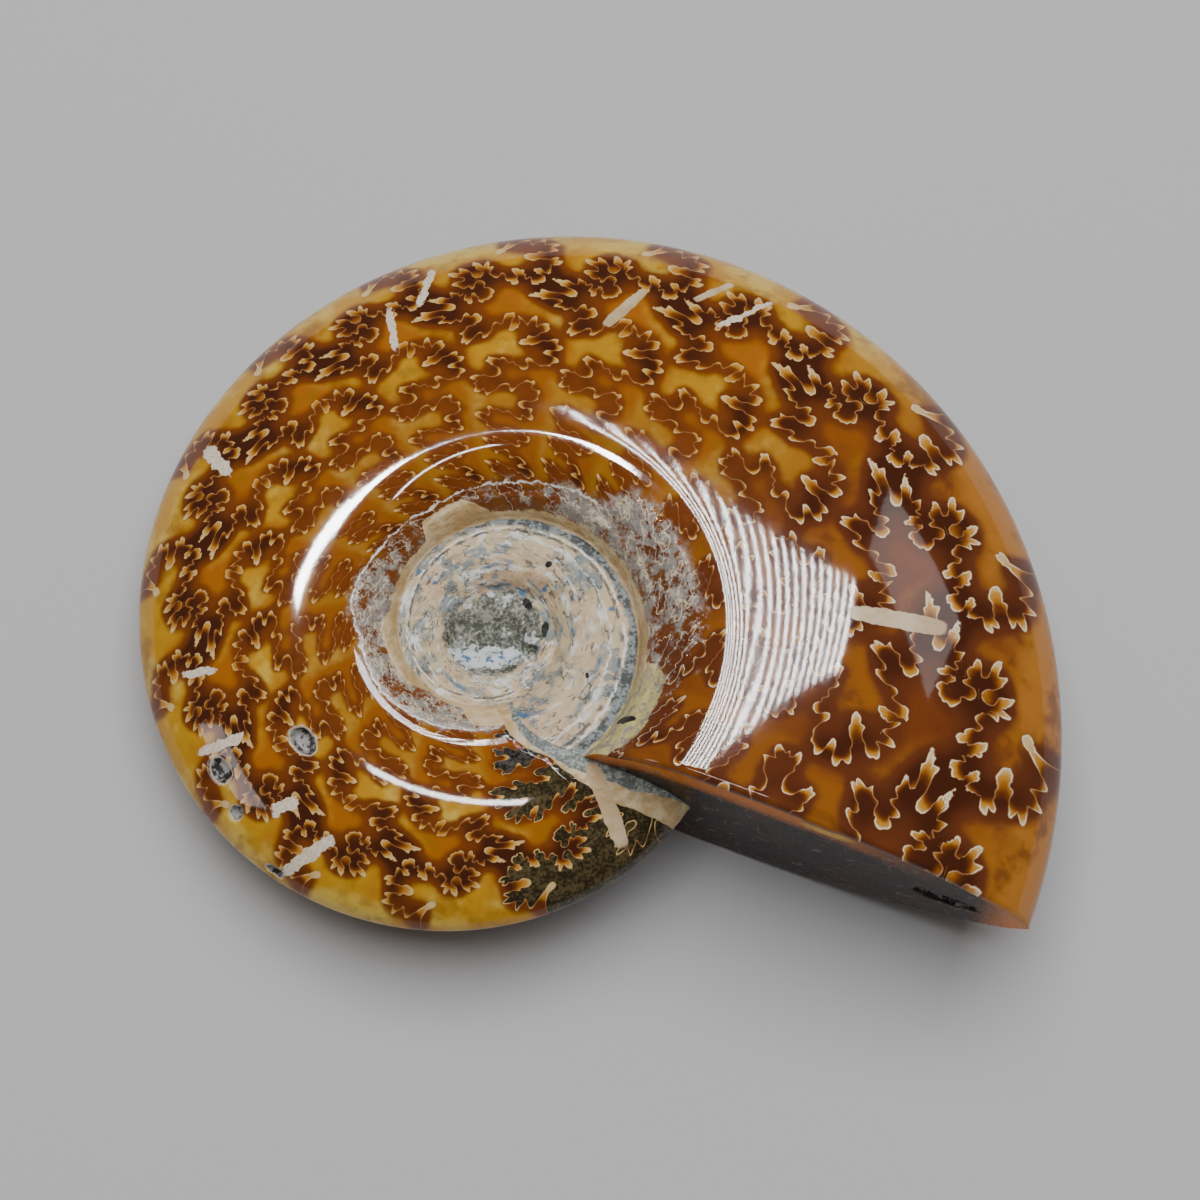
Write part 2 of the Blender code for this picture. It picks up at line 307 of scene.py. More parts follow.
upper_loop = np.concatenate((upper_numbers[:, -1], upper_numbers[-1, -2:OUTER_ROWS:-1]))
lower_loop = np.concatenate((lower_numbers[:, -1], lower_numbers[-1, -2 : OUTER_ROWS // 2 : -1]))
placed = np.concatenate(points)
upper_rings = inner_rings(placed[upper_loop[::2]], UMBILICUS_RINGS, 1.0)
lower_rings = inner_rings(placed[lower_loop], UNDERSIDE_RINGS, -1.0)
for loop, rings, flip in ((upper_loop, upper_rings, False), (lower_loop, lower_rings, True)):
    ring_numbers = numbered(count, rings.shape[:2])
    count += ring_numbers.size
    pole_height = rings[-1, :, 2].mean()
    points += [rings.reshape(-1, 3), np.array([[0.0, 0.0, pole_height]])]
    around = np.concatenate((ring_numbers, ring_numbers[:, :1]), axis=1)
    if flip:
        triangles.append(quilt(np.stack((closed(loop), around[0]), 1), flip))
    else:
        triangles.append(seam_in(closed(loop), around[0]))
    triangles.append(quilt(around.T, flip))
    last = around[-1]
    fan = np.stack((last[:-1], last[1:], np.full(len(last) - 1, count)), 1)
    triangles.append(fan[:, ::-1] if flip else fan)
    count += 1

# The aperture face is where the saw went through the filling. It fills the rim's outline, less the
# notch that the older whorl makes in it. Its points lie level by level between the mid-line, or the
# notch, and the rim, closer together near the mid-line.
FACE_LEVELS = 10
FACE_CROWDING = 1.4
placed = np.concatenate(points)
level = np.linspace(0.0, 1.0, FACE_LEVELS + 1)[None, 1:-1, None] ** FACE_CROWDING
rim_above, rim_below = upper_numbers[0], lower_numbers[0]
middle_line = placed[rim_above] * (1.0, 1.0, 0.0)
middle_numbers = count + np.arange(TURN_ROWS + 1)
middle_numbers[0] = rim_above[0]
middle_numbers[-1] = upper_numbers[-1, 0]
points.append(middle_line[: TURN_ROWS + 1])
count += TURN_ROWS + 1
placed = np.concatenate(points)
base_above = np.concatenate((middle_numbers, upper_numbers[-1, 1 : OUTER_ROWS + 1]))
base_below = np.concatenate((middle_numbers[::2], lower_numbers[-1, 1 : OUTER_ROWS // 2 + 1]))
face_start = sum(len(part) for part in triangles)
for base, rim, flip in ((base_above, rim_above, True), (base_below, rim_below, False)):
    low, high = placed[base][:, None, :], placed[rim][:, None, :]
    between = low * (1.0 - level) + high * level
    between_numbers = numbered(count, between.shape[:2])
    count += between_numbers.size
    between_numbers[0], between_numbers[-1] = base[0], base[-1]
    points.append(between.reshape(-1, 3))
    levels = np.concatenate((base[:, None], between_numbers, rim[:, None]), axis=1)
    if flip:
        triangles.append(quilt(levels, flip))
    else:
        triangles.append(quilt(levels[:, 1:], flip))
        outer_step = TURN_ROWS // 2 + 1
        triangles.append(seam_in(middle_numbers, levels[:outer_step, 1], flip=False))
        triangles.append(quilt(levels[outer_step - 1 :, :2], flip))
shape = np.concatenate(points)
triangles = np.concatenate(triangles)
on_face = np.arange(len(triangles)) >= face_start
whole = (triangles[:, 0] != triangles[:, 1]) & (triangles[:, 1] != triangles[:, 2])
whole &= triangles[:, 0] != triangles[:, 2]
triangles, on_face = triangles[whole], on_face[whole]

# A few holes and bruises were left open in the calcite, and a hollow in the aperture face. A pit is
# given by its turn in degrees, share of the way from the pole to the venter, length back along the
# spiral, width and depth. The hollow has no turn, and its length lies towards the venter.
PITS = (
    (260.5, 0.646, 0.0040, 0.0026, 0.0011),
    (255.0, 0.928, 0.0019, 0.0019, 0.0009),
    (247.6, 0.885, 0.0034, 0.0028, 0.0004),
    (266.5, 0.985, 0.0026, 0.0014, 0.0007),
    (0.4, 0.640, 0.0022, 0.0050, 0.0008),
    (49.0, 0.072, 0.0022, 0.0013, 0.0012),
)
HOLLOW = (0.86, 0.0080, 0.0030, 0.0014)


def flank_axes(turn, s):
    """A point on the upper flank, and the directions back along the spiral, inwards and out of it.

    They come from the steps to two near points, made square to each other, and their cross product.
    """
    step = 0.002
    point, later, nearer = flank_points(np.array((turn, turn + step, turn)), np.array((s, s, s - s * step)))
    along = (later - point) / np.linalg.norm(later - point)
    inwards = nearer - point - along * (along @ (nearer - point))
    inwards /= np.linalg.norm(inwards)
    out = np.cross(along, inwards)
    return point, np.stack((along, inwards, out * np.sign(out[2])))


def face_axes(s):
    """A point on the aperture face at half height, and the directions to the venter, up and out of it.

    The face is flat and upright, so the first runs to the face's point at s = 1, and the last is the
    cross product of the first two.
    """
    point, end = flank_points(np.zeros(2), np.array((s, 1.0))) * (1.0, 1.0, 0.0)
    along = (end - point) / np.linalg.norm(end - point)
    return point, np.stack((along, (0.0, 0.0, 1.0), np.cross(along, (0.0, 0.0, 1.0))))


def pressed_in(points, centre, axes, sizes):
    """Points lowered against the third axis, within an ellipse of that length and width.

    The drop is the depth times an eased rise in one less the squared shares of the half sizes.
    """
    away = (points - centre) @ axes.T
    length, width, depth = sizes
    inside = 1.0 - (2.0 * away[:, 0] / length) ** 2 - (2.0 * away[:, 1] / width) ** 2
    inside = np.where(np.abs(away[:, 2]) < 3.0 * depth, inside, 0.0)
    return points - axes[2] * (depth * eased(0.0, 0.6, inside))[:, None]


openings = [(*flank_axes(math.radians(turn_back), s), sizes) for turn_back, s, *sizes in PITS]
openings.append((*face_axes(HOLLOW[0]), HOLLOW[1:]))
for centre, axes, sizes in openings:
    shape = pressed_in(shape, centre, axes, sizes)

# It lies on its lower flank, tipped a little, and two small flats are worn where it rests. So all
# points are turned, cut off level just over the lowest one, and moved to stand over the origin.
TILT_UP_TO_APERTURE = math.radians(3.2)
TILT_UP_TO_BACK = math.radians(-2.8)
FLAT_DEPTH = 0.0003
tilt = Matrix.Rotation(-TILT_UP_TO_APERTURE, 3, "Y") @ Matrix.Rotation(TILT_UP_TO_BACK, 3, "X")
laid = shape @ np.array(tilt).T
laid[:, 2] = np.maximum(laid[:, 2], laid[:, 2].min() + FLAT_DEPTH)
low, high = laid.min(axis=0), laid.max(axis=0)
middle = np.array(((low[0] + high[0]) / 2.0, (low[1] + high[1]) / 2.0, low[2]))
laid -= middle


def laid_down(points):
    """Points of the shell as it was grown, turned by the tilt and shifted to where the stone lies."""
    return points @ np.array(tilt).T - middle


openings = [(laid_down(centre), axes @ np.array(tilt).T, sizes) for centre, axes, sizes in openings]

# The sutures are the edges of the shell's chamber walls: frilled cream lines of calcite, laid bare
# by the polish. Every wall has the same outline, so one drawn line is repeated along the spiral,
# and a second line drawn through the middle of its frills gives its course. Points are in
# thousandths of a radian back along the spiral, and thousandths in from the venter.
SUTURE_LINE = (
    (132, 0), (130, 18), (134, 34), (146, 52), (160, 66), (172, 72), (182, 80), (170, 79), (156, 73),
    (142, 67), (128, 58), (114, 46), (102, 36), (92, 28), (82, 25), (72, 29), (75, 38), (82, 47), (84, 56),
    (78, 58), (70, 50), (58, 42), (46, 33), (36, 31), (32, 38), (40, 47), (50, 52), (49, 57), (38, 57),
    (26, 56), (14, 56), (5, 60), (8, 67), (20, 70), (27, 75), (22, 80), (12, 81), (7, 86), (16, 90),
    (30, 92), (46, 93), (55, 89), (62, 88), (65, 94), (74, 97), (84, 95), (92, 91), (97, 94), (96, 100),
    (104, 103), (111, 107), (105, 113), (95, 115), (88, 113), (85, 119), (84, 125), (77, 126), (69, 122),
    (58, 119), (50, 122), (41, 120), (32, 123), (25, 117), (15, 114), (7, 118), (12, 124), (20, 130),
    (14, 131), (5, 127), (-1, 131), (3, 139), (10, 145), (20, 148), (30, 145), (41, 143), (47, 147),
    (43, 152), (35, 154), (27, 152), (19, 156), (15, 163), (21, 168), (20, 175), (28, 180), (40, 179),
    (48, 173), (52, 164), (56, 156), (61, 153), (66, 158), (73, 155), (81, 157), (80, 166), (75, 169),
    (75, 176), (66, 178), (58, 182), (52, 190), (50, 200), (54, 209), (62, 213), (70, 212), (73, 221),
    (80, 224), (85, 218), (92, 217), (91, 208), (93, 199), (90, 192), (95, 186), (100, 190), (102, 199),
    (107, 195), (108, 185), (104, 178), (111, 172), (107, 163), (110, 156), (119, 158), (122, 151),
    (132, 148), (140, 148), (139, 158), (137, 168), (131, 178), (128, 187), (133, 193), (129, 201),
    (130, 209), (137, 212), (145, 214), (150, 207), (150, 197), (158, 197), (163, 188), (164, 178),
    (160, 170), (166, 161), (172, 160), (176, 170), (183, 177), (192, 176), (197, 166), (203, 158),
    (199, 148), (192, 140), (186, 131), (190, 124), (197, 128), (201, 134), (196, 120), (194, 109),
    (198, 102), (203, 109), (208, 115), (210, 122), (215, 125), (218, 114), (222, 106), (230, 99),
    (238, 94), (236, 103), (240, 111), (236, 118), (238, 125), (229, 132), (220, 138), (217, 146),
    (222, 158), (230, 165), (238, 167), (246, 160), (251, 150), (249, 142), (254, 130), (260, 120),
    (268, 116), (275, 107), (280, 113), (277, 123), (281, 130), (289, 126), (299, 119), (309, 116),
    (317, 115), (313, 125), (306, 134), (295, 141), (282, 148), (275, 152), (273, 159), (278, 165),
    (290, 163), (300, 161), (311, 164), (316, 169), (309, 177), (299, 178), (296, 187), (290, 193),
    (282, 194), (273, 191), (267, 186), (266, 194), (273, 203), (264, 205), (257, 198), (253, 190),
    (250, 181), (243, 176), (234, 176), (226, 182), (223, 192), (229, 200), (228, 209), (218, 209),
    (210, 217), (204, 227), (207, 234), (214, 238), (214, 247), (223, 251), (231, 257), (239, 255),
    (245, 262), (254, 262), (261, 250), (255, 239), (261, 232), (260, 223), (270, 217), (274, 227),
    (279, 233), (274, 242), (277, 253), (283, 259), (292, 259), (294, 250), (287, 242), (298, 242),
    (296, 230), (288, 223), (292, 212), (301, 218), (307, 220), (308, 208), (318, 202), (330, 195),
    (331, 203), (328, 215), (333, 221), (343, 217), (353, 208), (362, 203), (375, 205), (388, 198),
    (400, 196), (408, 193), (398, 205), (388, 213), (382, 217), (378, 225), (367, 228), (358, 234),
    (345, 238), (334, 246), (331, 253), (333, 262), (339, 266), (352, 267), (365, 261), (380, 254),
    (395, 251), (415, 247), (433, 240), (452, 239), (440, 244), (428, 250), (445, 250), (463, 248),
    (456, 253), (470, 253), (485, 259), (470, 264), (455, 267), (436, 270), (444, 275), (430, 276),
    (415, 275), (395, 276), (380, 280), (375, 285), (380, 291), (392, 295), (405, 298), (412, 301),
    (405, 305), (390, 308), (378, 310), (375, 316), (369, 318), (360, 314), (350, 308), (344, 310),
    (345, 318), (340, 322), (330, 314), (322, 300), (312, 291), (303, 294), (303, 307), (305, 312),
    (297, 310), (287, 302), (277, 303), (272, 313), (267, 323), (273, 333), (282, 339), (291, 339),
    (297, 345), (310, 347), (326, 345), (331, 352), (337, 359), (349, 365), (366, 370), (349, 374),
    (352, 382), (361, 391), (372, 408), (362, 406), (357, 410), (358, 421), (346, 415), (331, 404),
    (319, 397), (304, 383), (291, 379), (285, 385), (287, 397), (293, 407), (279, 406), (269, 398),
    (258, 388), (249, 377), (246, 365), (238, 353), (228, 350), (222, 356), (216, 364), (207, 355),
    (200, 342), (194, 326), (182, 320), (176, 325), (167, 320), (158, 324), (163, 338), (176, 353),
    (182, 367), (194, 384), (197, 397), (186, 397), (173, 385), (163, 386), (157, 373), (149, 365),
    (146, 355), (138, 336), (133, 328), (123, 328), (119, 335), (123, 352), (137, 370), (134, 376),
    (127, 375), (119, 365), (111, 350), (101, 344), (92, 341), (84, 348), (88, 361), (105, 374), (108, 382),
    (99, 384), (88, 377), (73, 373), (61, 371), (55, 377), (59, 386), (54, 392), (64, 403), (76, 408),
    (90, 411), (98, 418), (110, 423), (122, 423), (132, 419), (138, 426), (141, 432), (152, 432),
    (164, 436), (173, 447), (164, 455), (152, 456), (137, 455), (129, 459), (116, 456), (104, 452),
    (92, 444), (79, 441), (70, 444), (58, 439), (43, 434), (29, 436), (31, 445), (38, 455), (28, 461),
    (16, 465), (17, 474), (34, 482), (52, 482), (73, 481), (85, 483), (93, 491), (82, 498), (64, 505),
    (46, 512), (35, 523), (40, 532), (58, 535), (68, 541), (75, 549), (92, 547), (107, 550), (122, 541),
    (134, 530), (140, 518), (152, 512), (163, 518), (163, 530), (158, 542), (161, 556), (173, 564),
    (185, 564), (193, 556), (195, 543), (207, 542), (210, 527), (219, 526), (228, 529), (237, 523),
    (239, 509), (246, 500), (256, 505), (264, 510), (267, 503), (282, 497), (298, 489), (304, 497),
    (316, 506), (304, 515), (302, 524), (288, 535), (276, 544), (274, 555), (276, 570), (285, 577),
    (307, 582), (325, 579), (337, 571), (346, 564), (358, 568), (373, 559), (395, 559), (407, 567),
    (395, 576), (382, 583), (388, 592), (404, 596), (392, 604), (404, 614), (419, 631), (404, 640),
    (383, 633), (367, 627), (370, 642), (381, 665), (360, 657), (344, 651), (326, 647), (312, 635),
    (298, 624), (276, 619), (262, 622), (258, 632), (264, 648), (262, 664), (241, 651), (223, 635),
    (201, 624), (187, 615), (175, 613), (166, 620), (149, 614), (149, 628), (168, 644), (155, 660),
    (134, 662), (138, 676), (148, 685), (150, 703), (170, 711), (187, 716), (209, 710), (233, 712),
    (250, 722), (247, 738), (233, 749), (215, 747), (189, 752), (194, 762), (201, 771), (203, 782),
    (196, 797), (212, 812), (234, 796), (248, 783), (255, 789), (258, 803), (267, 808), (280, 799),
    (294, 781), (305, 762), (319, 756), (332, 763), (346, 752), (358, 739), (372, 741), (384, 720),
    (392, 717), (400, 726), (398, 745), (414, 768), (422, 756), (437, 742), (452, 735), (476, 744),
    (462, 771), (442, 787), (438, 799), (450, 818), (441, 824), (427, 846), (412, 848), (390, 853),
    (366, 842), (344, 846), (333, 857), (326, 878), (312, 874), (291, 871), (273, 874), (269, 884),
    (275, 893), (251, 903), (255, 921), (273, 933), (301, 928), (325, 920), (332, 932), (322, 950),
    (338, 958), (356, 950), (366, 938), (382, 934), (392, 920), (406, 916), (423, 899), (441, 887),
    (455, 885), (454, 899), (463, 910), (480, 896), (500, 880), (514, 881), (508, 899), (497, 912),
    (501, 924), (518, 934), (500, 948), (488, 962), (496, 985), (480, 980), (468, 970), (440, 970),
    (420, 966), (410, 978), (414, 1000), (424, 1012), (410, 1018), (385, 1012), (362, 1014), (345, 1030),
    (334, 1050), (350, 1056), (372, 1052), (392, 1058), (404, 1064), (396, 1072), (370, 1076), (345, 1078),
    (320, 1088), (306, 1106), (318, 1120), (340, 1118), (352, 1132), (372, 1128), (388, 1112), (400, 1098),
    (420, 1104), (428, 1086), (446, 1074), (470, 1078), (480, 1060), (500, 1046), (512, 1030), (526, 1022),
    (520, 1044), (534, 1050), (556, 1030), (580, 1012), (594, 1008), (586, 1030), (566, 1052), (574, 1064),
    (592, 1066), (582, 1086), (556, 1090), (548, 1108), (528, 1112), (512, 1130), (500, 1150), (484, 1148),
    (470, 1162), (448, 1160), (436, 1176), (452, 1190), (440, 1204), (456, 1218), (478, 1212), (490, 1196),
    (512, 1200), (524, 1184), (548, 1180), (566, 1164), (590, 1160), (612, 1146), (632, 1148), (622, 1166),
    (640, 1178), (626, 1194), (644, 1210), (622, 1222), (606, 1240), (614, 1258), (596, 1270), (590, 1290),
    (598, 1308), (584, 1322), (576, 1340),
)
SUTURE_COURSE = (
    (130, -30), (130, 0), (131, 24), (138, 46), (147, 60), (138, 64), (118, 54), (98, 42), (62, 42),
    (32, 52), (20, 76), (26, 90), (52, 97), (66, 100), (72, 107), (64, 114), (48, 116), (26, 121),
    (13, 133), (17, 148), (20, 166), (34, 177), (48, 170), (60, 163), (72, 166), (74, 176), (62, 184),
    (60, 200), (74, 212), (87, 206), (92, 192), (102, 188), (109, 176), (114, 164), (128, 160), (135, 172),
    (131, 190), (139, 204), (150, 198), (158, 184), (167, 172), (178, 174), (190, 168), (195, 152),
    (192, 134), (200, 120), (214, 114), (228, 114), (233, 126), (224, 142), (226, 157), (238, 163),
    (248, 150), (253, 133), (265, 121), (280, 130), (288, 139), (280, 152), (288, 166), (290, 180),
    (276, 190), (260, 190), (248, 180), (236, 179), (226, 190), (222, 206), (210, 218), (210, 236),
    (222, 249), (245, 256), (258, 245), (265, 232), (274, 240), (288, 240), (292, 226), (306, 220),
    (320, 210), (332, 214), (346, 215), (368, 205), (388, 200), (400, 197), (385, 213), (360, 230),
    (338, 244), (331, 254), (340, 266), (365, 261), (395, 251), (430, 243), (462, 250), (476, 258),
    (460, 266), (430, 272), (395, 276), (377, 284), (392, 294), (408, 301), (390, 309), (362, 312),
    (330, 308), (300, 302), (277, 310), (270, 324), (285, 339), (318, 348), (342, 364), (352, 384),
    (366, 406), (350, 410), (325, 398), (302, 384), (287, 390), (288, 402), (270, 397), (250, 378),
    (238, 360), (222, 356), (204, 348), (188, 340), (174, 350), (172, 368), (160, 372), (147, 356),
    (132, 351), (118, 357), (104, 363), (88, 370), (72, 379), (62, 390), (70, 402), (92, 414), (115, 422),
    (140, 431), (162, 440), (168, 447), (158, 454), (130, 458), (100, 451), (70, 444), (42, 440), (30, 450),
    (24, 464), (36, 478), (60, 482), (86, 489), (66, 503), (44, 514), (42, 528), (66, 539), (95, 545),
    (122, 539), (140, 525), (154, 520), (164, 534), (172, 552), (188, 550), (200, 538), (220, 527),
    (240, 512), (268, 505), (292, 498), (306, 507), (298, 524), (280, 540), (276, 560), (286, 576),
    (310, 581), (338, 571), (366, 564), (388, 568), (390, 588), (400, 606), (406, 626), (388, 637),
    (366, 644), (340, 648), (318, 638), (296, 625), (272, 621), (262, 634), (258, 652), (238, 648),
    (215, 634), (190, 619), (165, 619), (152, 630), (148, 650), (142, 672), (152, 700), (185, 714),
    (215, 711), (240, 720), (244, 734), (226, 746), (200, 754), (200, 778), (212, 803), (232, 792),
    (255, 796), (280, 790), (300, 768), (330, 757), (360, 742), (384, 732), (400, 742), (425, 752),
    (448, 746), (460, 754), (452, 776), (442, 800), (432, 828), (405, 848), (370, 844), (345, 849),
    (330, 868), (300, 873), (276, 882), (260, 905), (270, 926), (300, 928), (326, 932), (336, 952),
    (362, 940), (384, 930), (408, 913), (438, 895), (462, 896), (490, 892), (504, 908), (502, 930),
    (488, 952), (476, 970), (450, 972), (422, 972), (412, 988), (408, 1010), (380, 1014), (354, 1024),
    (344, 1044), (362, 1054), (388, 1060), (378, 1074), (345, 1080), (318, 1092), (316, 1112), (342, 1124),
    (375, 1118), (402, 1102), (428, 1088), (458, 1076), (485, 1054), (514, 1040), (542, 1038), (568, 1026),
    (576, 1044), (572, 1068), (550, 1094), (525, 1114), (500, 1138), (472, 1156), (447, 1172), (448, 1196),
    (462, 1208), (490, 1202), (520, 1190), (552, 1176), (585, 1160), (615, 1156), (626, 1176), (628, 1204),
    (614, 1230), (602, 1256), (596, 1284), (590, 1310), (578, 1340),
)
# The spacing of the drawn walls, the turns at which walls stand on the shell, and how they lean.
WALL_SPACING = 0.37
FIRST_WALL = 0.143
WALL_STEP = 0.3714
CROWDING_START = 3.4
CROWDING = 0.147
LEAN_START = 3.9
LEAN_TURN = 1.7
MOST_LEAN = 1.2
LEAN_CENTRE = 0.43
OUTER_LEAN = 0.40
INNER_LEAN = 0.06


def wall_count(turn):
    """Walls passed at a turn: one for each even step, less a square term towards the corner."""
    later = np.maximum(turn - CROWDING_START, 0.0)
    return (turn - FIRST_WALL) / WALL_STEP - CROWDING * later**2


def lean(turn, depth):
    """How far the walls lean: their depth past a centre times a slope that grows to the corner."""
    late = np.clip((turn - LEAN_START) / LEAN_TURN, 0.0, MOST_LEAN)
    past = depth - LEAN_CENTRE
    return late * (OUTER_LEAN * np.minimum(past, 0.0) + INNER_LEAN * np.maximum(past, 0.0))


def smoothed(values, width):
    """A running average along a line, weighted by a bell curve of that width in points."""
    reach = np.arange(-3 * width, 3 * width + 1)
    weights = np.exp(-0.5 * (reach / width) ** 2)
    padded = np.pad(values, 3 * width, mode="edge")
    return np.convolve(padded, weights / weights.sum(), mode="valid")


CURVE_PARTS = 16


def curve_through(drawn, step):
    """Even points, a step apart, on a smooth cubic curve through drawn points.

    Each point's slope is half the way between its neighbours, and no steeper than its two chords.
    """
    drawn = np.array(drawn) / 1000.0
    chords = np.diff(drawn, axis=0)
    slopes = np.empty_like(drawn)
    slopes[1:-1] = (drawn[2:] - drawn[:-2]) / 2.0
    slopes[0], slopes[-1] = chords[0], chords[-1]
    sizes = np.hypot(slopes[:, 0], slopes[:, 1])
    part = np.linspace(0.0, 1.0, CURVE_PARTS, endpoint=False)[None, :, None]
    start, end = drawn[:-1, None], drawn[1:, None]
    room = np.hypot(chords[:, 0], chords[:, 1])[:, None, None]
    leaving = slopes[:-1, None] * np.minimum(1.0, room / sizes[:-1, None, None])
    arriving = slopes[1:, None] * np.minimum(1.0, room / sizes[1:, None, None])
    curve = (2 * part**3 - 3 * part**2 + 1) * start + (part**3 - 2 * part**2 + part) * leaving
    curve = curve + (3 * part**2 - 2 * part**3) * end + (part**3 - part**2) * arriving
    curve = curve.reshape(-1, 2)
    run = np.concatenate(((0.0,), np.cumsum(np.hypot(*np.diff(curve, axis=0).T))))
    even = np.arange(0.0, run[-1], step)
    return even, np.stack([np.interp(even, run, curve[:, axis]) for axis in (0, 1)], axis=1)


# The course, its direction, the direction across it towards the older side, and how it curves.
COURSE_STEP = 0.0025
BULGE_BLUR = 12
BULGE_GAIN = 0.05
along, course = curve_through(SUTURE_COURSE, COURSE_STEP)
course = np.stack([smoothed(course[:, axis], 2) for axis in (0, 1)], axis=1)
ahead = np.stack([smoothed(np.gradient(course[:, axis]), 1) for axis in (0, 1)], axis=1)
ahead /= np.hypot(ahead[:, 0], ahead[:, 1])[:, None]
across = np.stack((ahead[:, 1], -ahead[:, 0]), axis=1)
heading = np.unwrap(np.arctan2(ahead[:, 1], ahead[:, 0]))
curving = smoothed(np.gradient(heading) / COURSE_STEP, 1)
bulge = smoothed(-np.tanh(BULGE_GAIN * smoothed(curving, BULGE_BLUR)), 4)
MOST_ROOM = 0.4
SAME_STRETCH = 0.006


def side_room():
    """How far the older and the younger side reach before another stretch of line is nearer.

    A circle that touches the course at one point and passes through another has the radius
    distance**2 / (2 * distance measured straight across), and the smallest such circle counts.
    """
    room = np.full((2, len(along)), MOST_ROOM)
    for shift in (-WALL_SPACING, 0.0, WALL_SPACING):
        away = course[None] + (shift, 0.0) - course[:, None]
        square = (away**2).sum(axis=-1)
        straight = (away * across[:, None]).sum(axis=-1)
        if shift == 0.0:
            square[np.abs(along[:, None] - along[None]) < SAME_STRETCH] = 1.0
        for side, sign in enumerate((1.0, -1.0)):
            radius = square / np.maximum(2.0 * sign * straight, 1e-6)
            room[side] = np.minimum(room[side], radius.min(axis=1))
    return room


LINE_STEP = 0.001
FRILL_STEP = 0.0025
SEARCH_REACH = 30
LEAST_STRETCH = 0.35
PULL_APART = 0.12
FRILL_GAP = 0.003


def frill_heights():
    """How far the drawn line lies to the older side of the course, in even steps along it.

    Each point of the line is set against the nearest point of the course, going forward a step
    at a time. Where the line doubles back, it is pulled apart just enough to read in one way.
    """
    line = curve_through(SUTURE_LINE, LINE_STEP)[1]
    line = np.stack([smoothed(line[:, axis], 1) for axis in (0, 1)], axis=1)
    way, height = np.empty(len(line)), np.empty(len(line))
    near = 0
    for number, point in enumerate(line):
        first = max(0, near - SEARCH_REACH)
        away = point - course[first : near + SEARCH_REACH + 1]
        near = first + int((away**2).sum(axis=1).argmin())
        away = point - course[near]
        height[number] = away @ across[near]
        stretch = max(1.0 + curving[near] * height[number], LEAST_STRETCH)
        way[number] = along[near] + away @ ahead[near] / stretch
    spread = PULL_APART * LINE_STEP * np.arange(len(line))
    forward = np.maximum.accumulate(way - spread)
    backward = np.minimum.accumulate((way - spread)[::-1])[::-1]
    even = np.arange(0.0, along[-1], FRILL_STEP)
    heights = np.interp(even, (forward + backward) / 2.0 + spread, height)
    older_room, younger_room = [np.interp(even, along, smoothed(room, 2)) for room in side_room()]
    return even, np.clip(heights, FRILL_GAP - younger_room, older_room - FRILL_GAP)


# The reach at a place is the greatest height within a few steps of it.
REACH_STEPS = 7
frill_way, frill_height = frill_heights()
padded_height = np.pad(np.abs(frill_height), REACH_STEPS, mode="edge")
widest = np.lib.stride_tricks.sliding_window_view(padded_height, 2 * REACH_STEPS + 1)
frill_reach = smoothed(widest.max(axis=1), 3) + LINE_STEP

# The band beside the course in which offsets are kept, and the widths of three bell curves.
BAND_HALF_WIDTH = 0.06
BEND_BLUR = 0.02
DENSITY_BLUR = 0.03
BALANCE_BLUR = 0.06
BLOCK = 2000


def suture_readings(x, depth):
    """How each point lies to the sutures, by its nearest point on the course.

    Gives the chamber count, which is whole on the course and halfway at a band's edge, the way along
    the course, the frills' reach, the course's mean bulge, how densely lines fill the neighbourhood,
    how much the course's curve spreads the frills, and the share of the lines around that belong to
    the chamber's older wall. The last four weigh the course's points by a bell curve of distance,
    or are one plus the curving times the distance.
    """
    first = np.floor(x / WALL_SPACING)
    points = np.stack((x - first * WALL_SPACING, depth), axis=1).astype(np.float32)
    walls = np.arange(-2, 2)
    shifts = np.stack((walls * WALL_SPACING, 0.0 * walls), axis=1)
    lines = (course[None] + shifts[:, None]).reshape(-1, 2).astype(np.float32)
    bulges = np.tile(bulge[::4], len(walls)).astype(np.float32)
    nearest = np.empty(len(points), dtype=int)
    mean_bulge, density = np.empty(len(points)), np.empty(len(points))
    around = np.empty((len(points), len(walls)))
    for block in np.array_split(np.arange(len(points)), len(points) // BLOCK + 1):
        square = (points[block] ** 2).sum(1)[:, None] + (lines**2).sum(1)[None]
        square -= 2.0 * points[block] @ lines.T
        nearest[block] = square.argmin(axis=1)
        by_wall = np.maximum(square.reshape(len(block), len(walls), -1)[:, :, ::4], 0.0)
        around[block] = np.exp(-by_wall / (2.0 * BALANCE_BLUR**2)).sum(axis=2)
        some = by_wall.reshape(len(block), -1)
        close = np.exp(-some / (2.0 * BEND_BLUR**2))
        mean_bulge[block] = (close @ bulges) / (close.sum(axis=1) + 1e-6)
        density[block] = np.exp(-some / (2.0 * DENSITY_BLUR**2)).sum(axis=1)
    spot = nearest % len(along)
    wall = nearest // len(along)
    away = points - lines[nearest]
    distance = (away * across[spot]).sum(axis=1)
    stretch = np.maximum(1.0 + curving[spot] * distance, LEAST_STRETCH)
    onward = np.clip((away * ahead[spot]).sum(axis=1) / stretch, -COURSE_STEP, COURSE_STEP)
    way = along[spot] + onward
    younger = np.clip(wall - (distance < 0.0), 0, len(walls) - 2)
    row = np.arange(len(points))
    older_share = around[row, younger + 1] / (around[row, younger] + around[row, younger + 1] + 1e-6)
    count = first + walls[wall] + 0.5 * np.clip(distance / BAND_HALF_WIDTH, -1.0, 1.0)
    reach = np.interp(way, frill_way, frill_reach)
    density *= 4.0 * COURSE_STEP / (2.5 * DENSITY_BLUR)
    return count, way, reach, mean_bulge, density, stretch, older_share


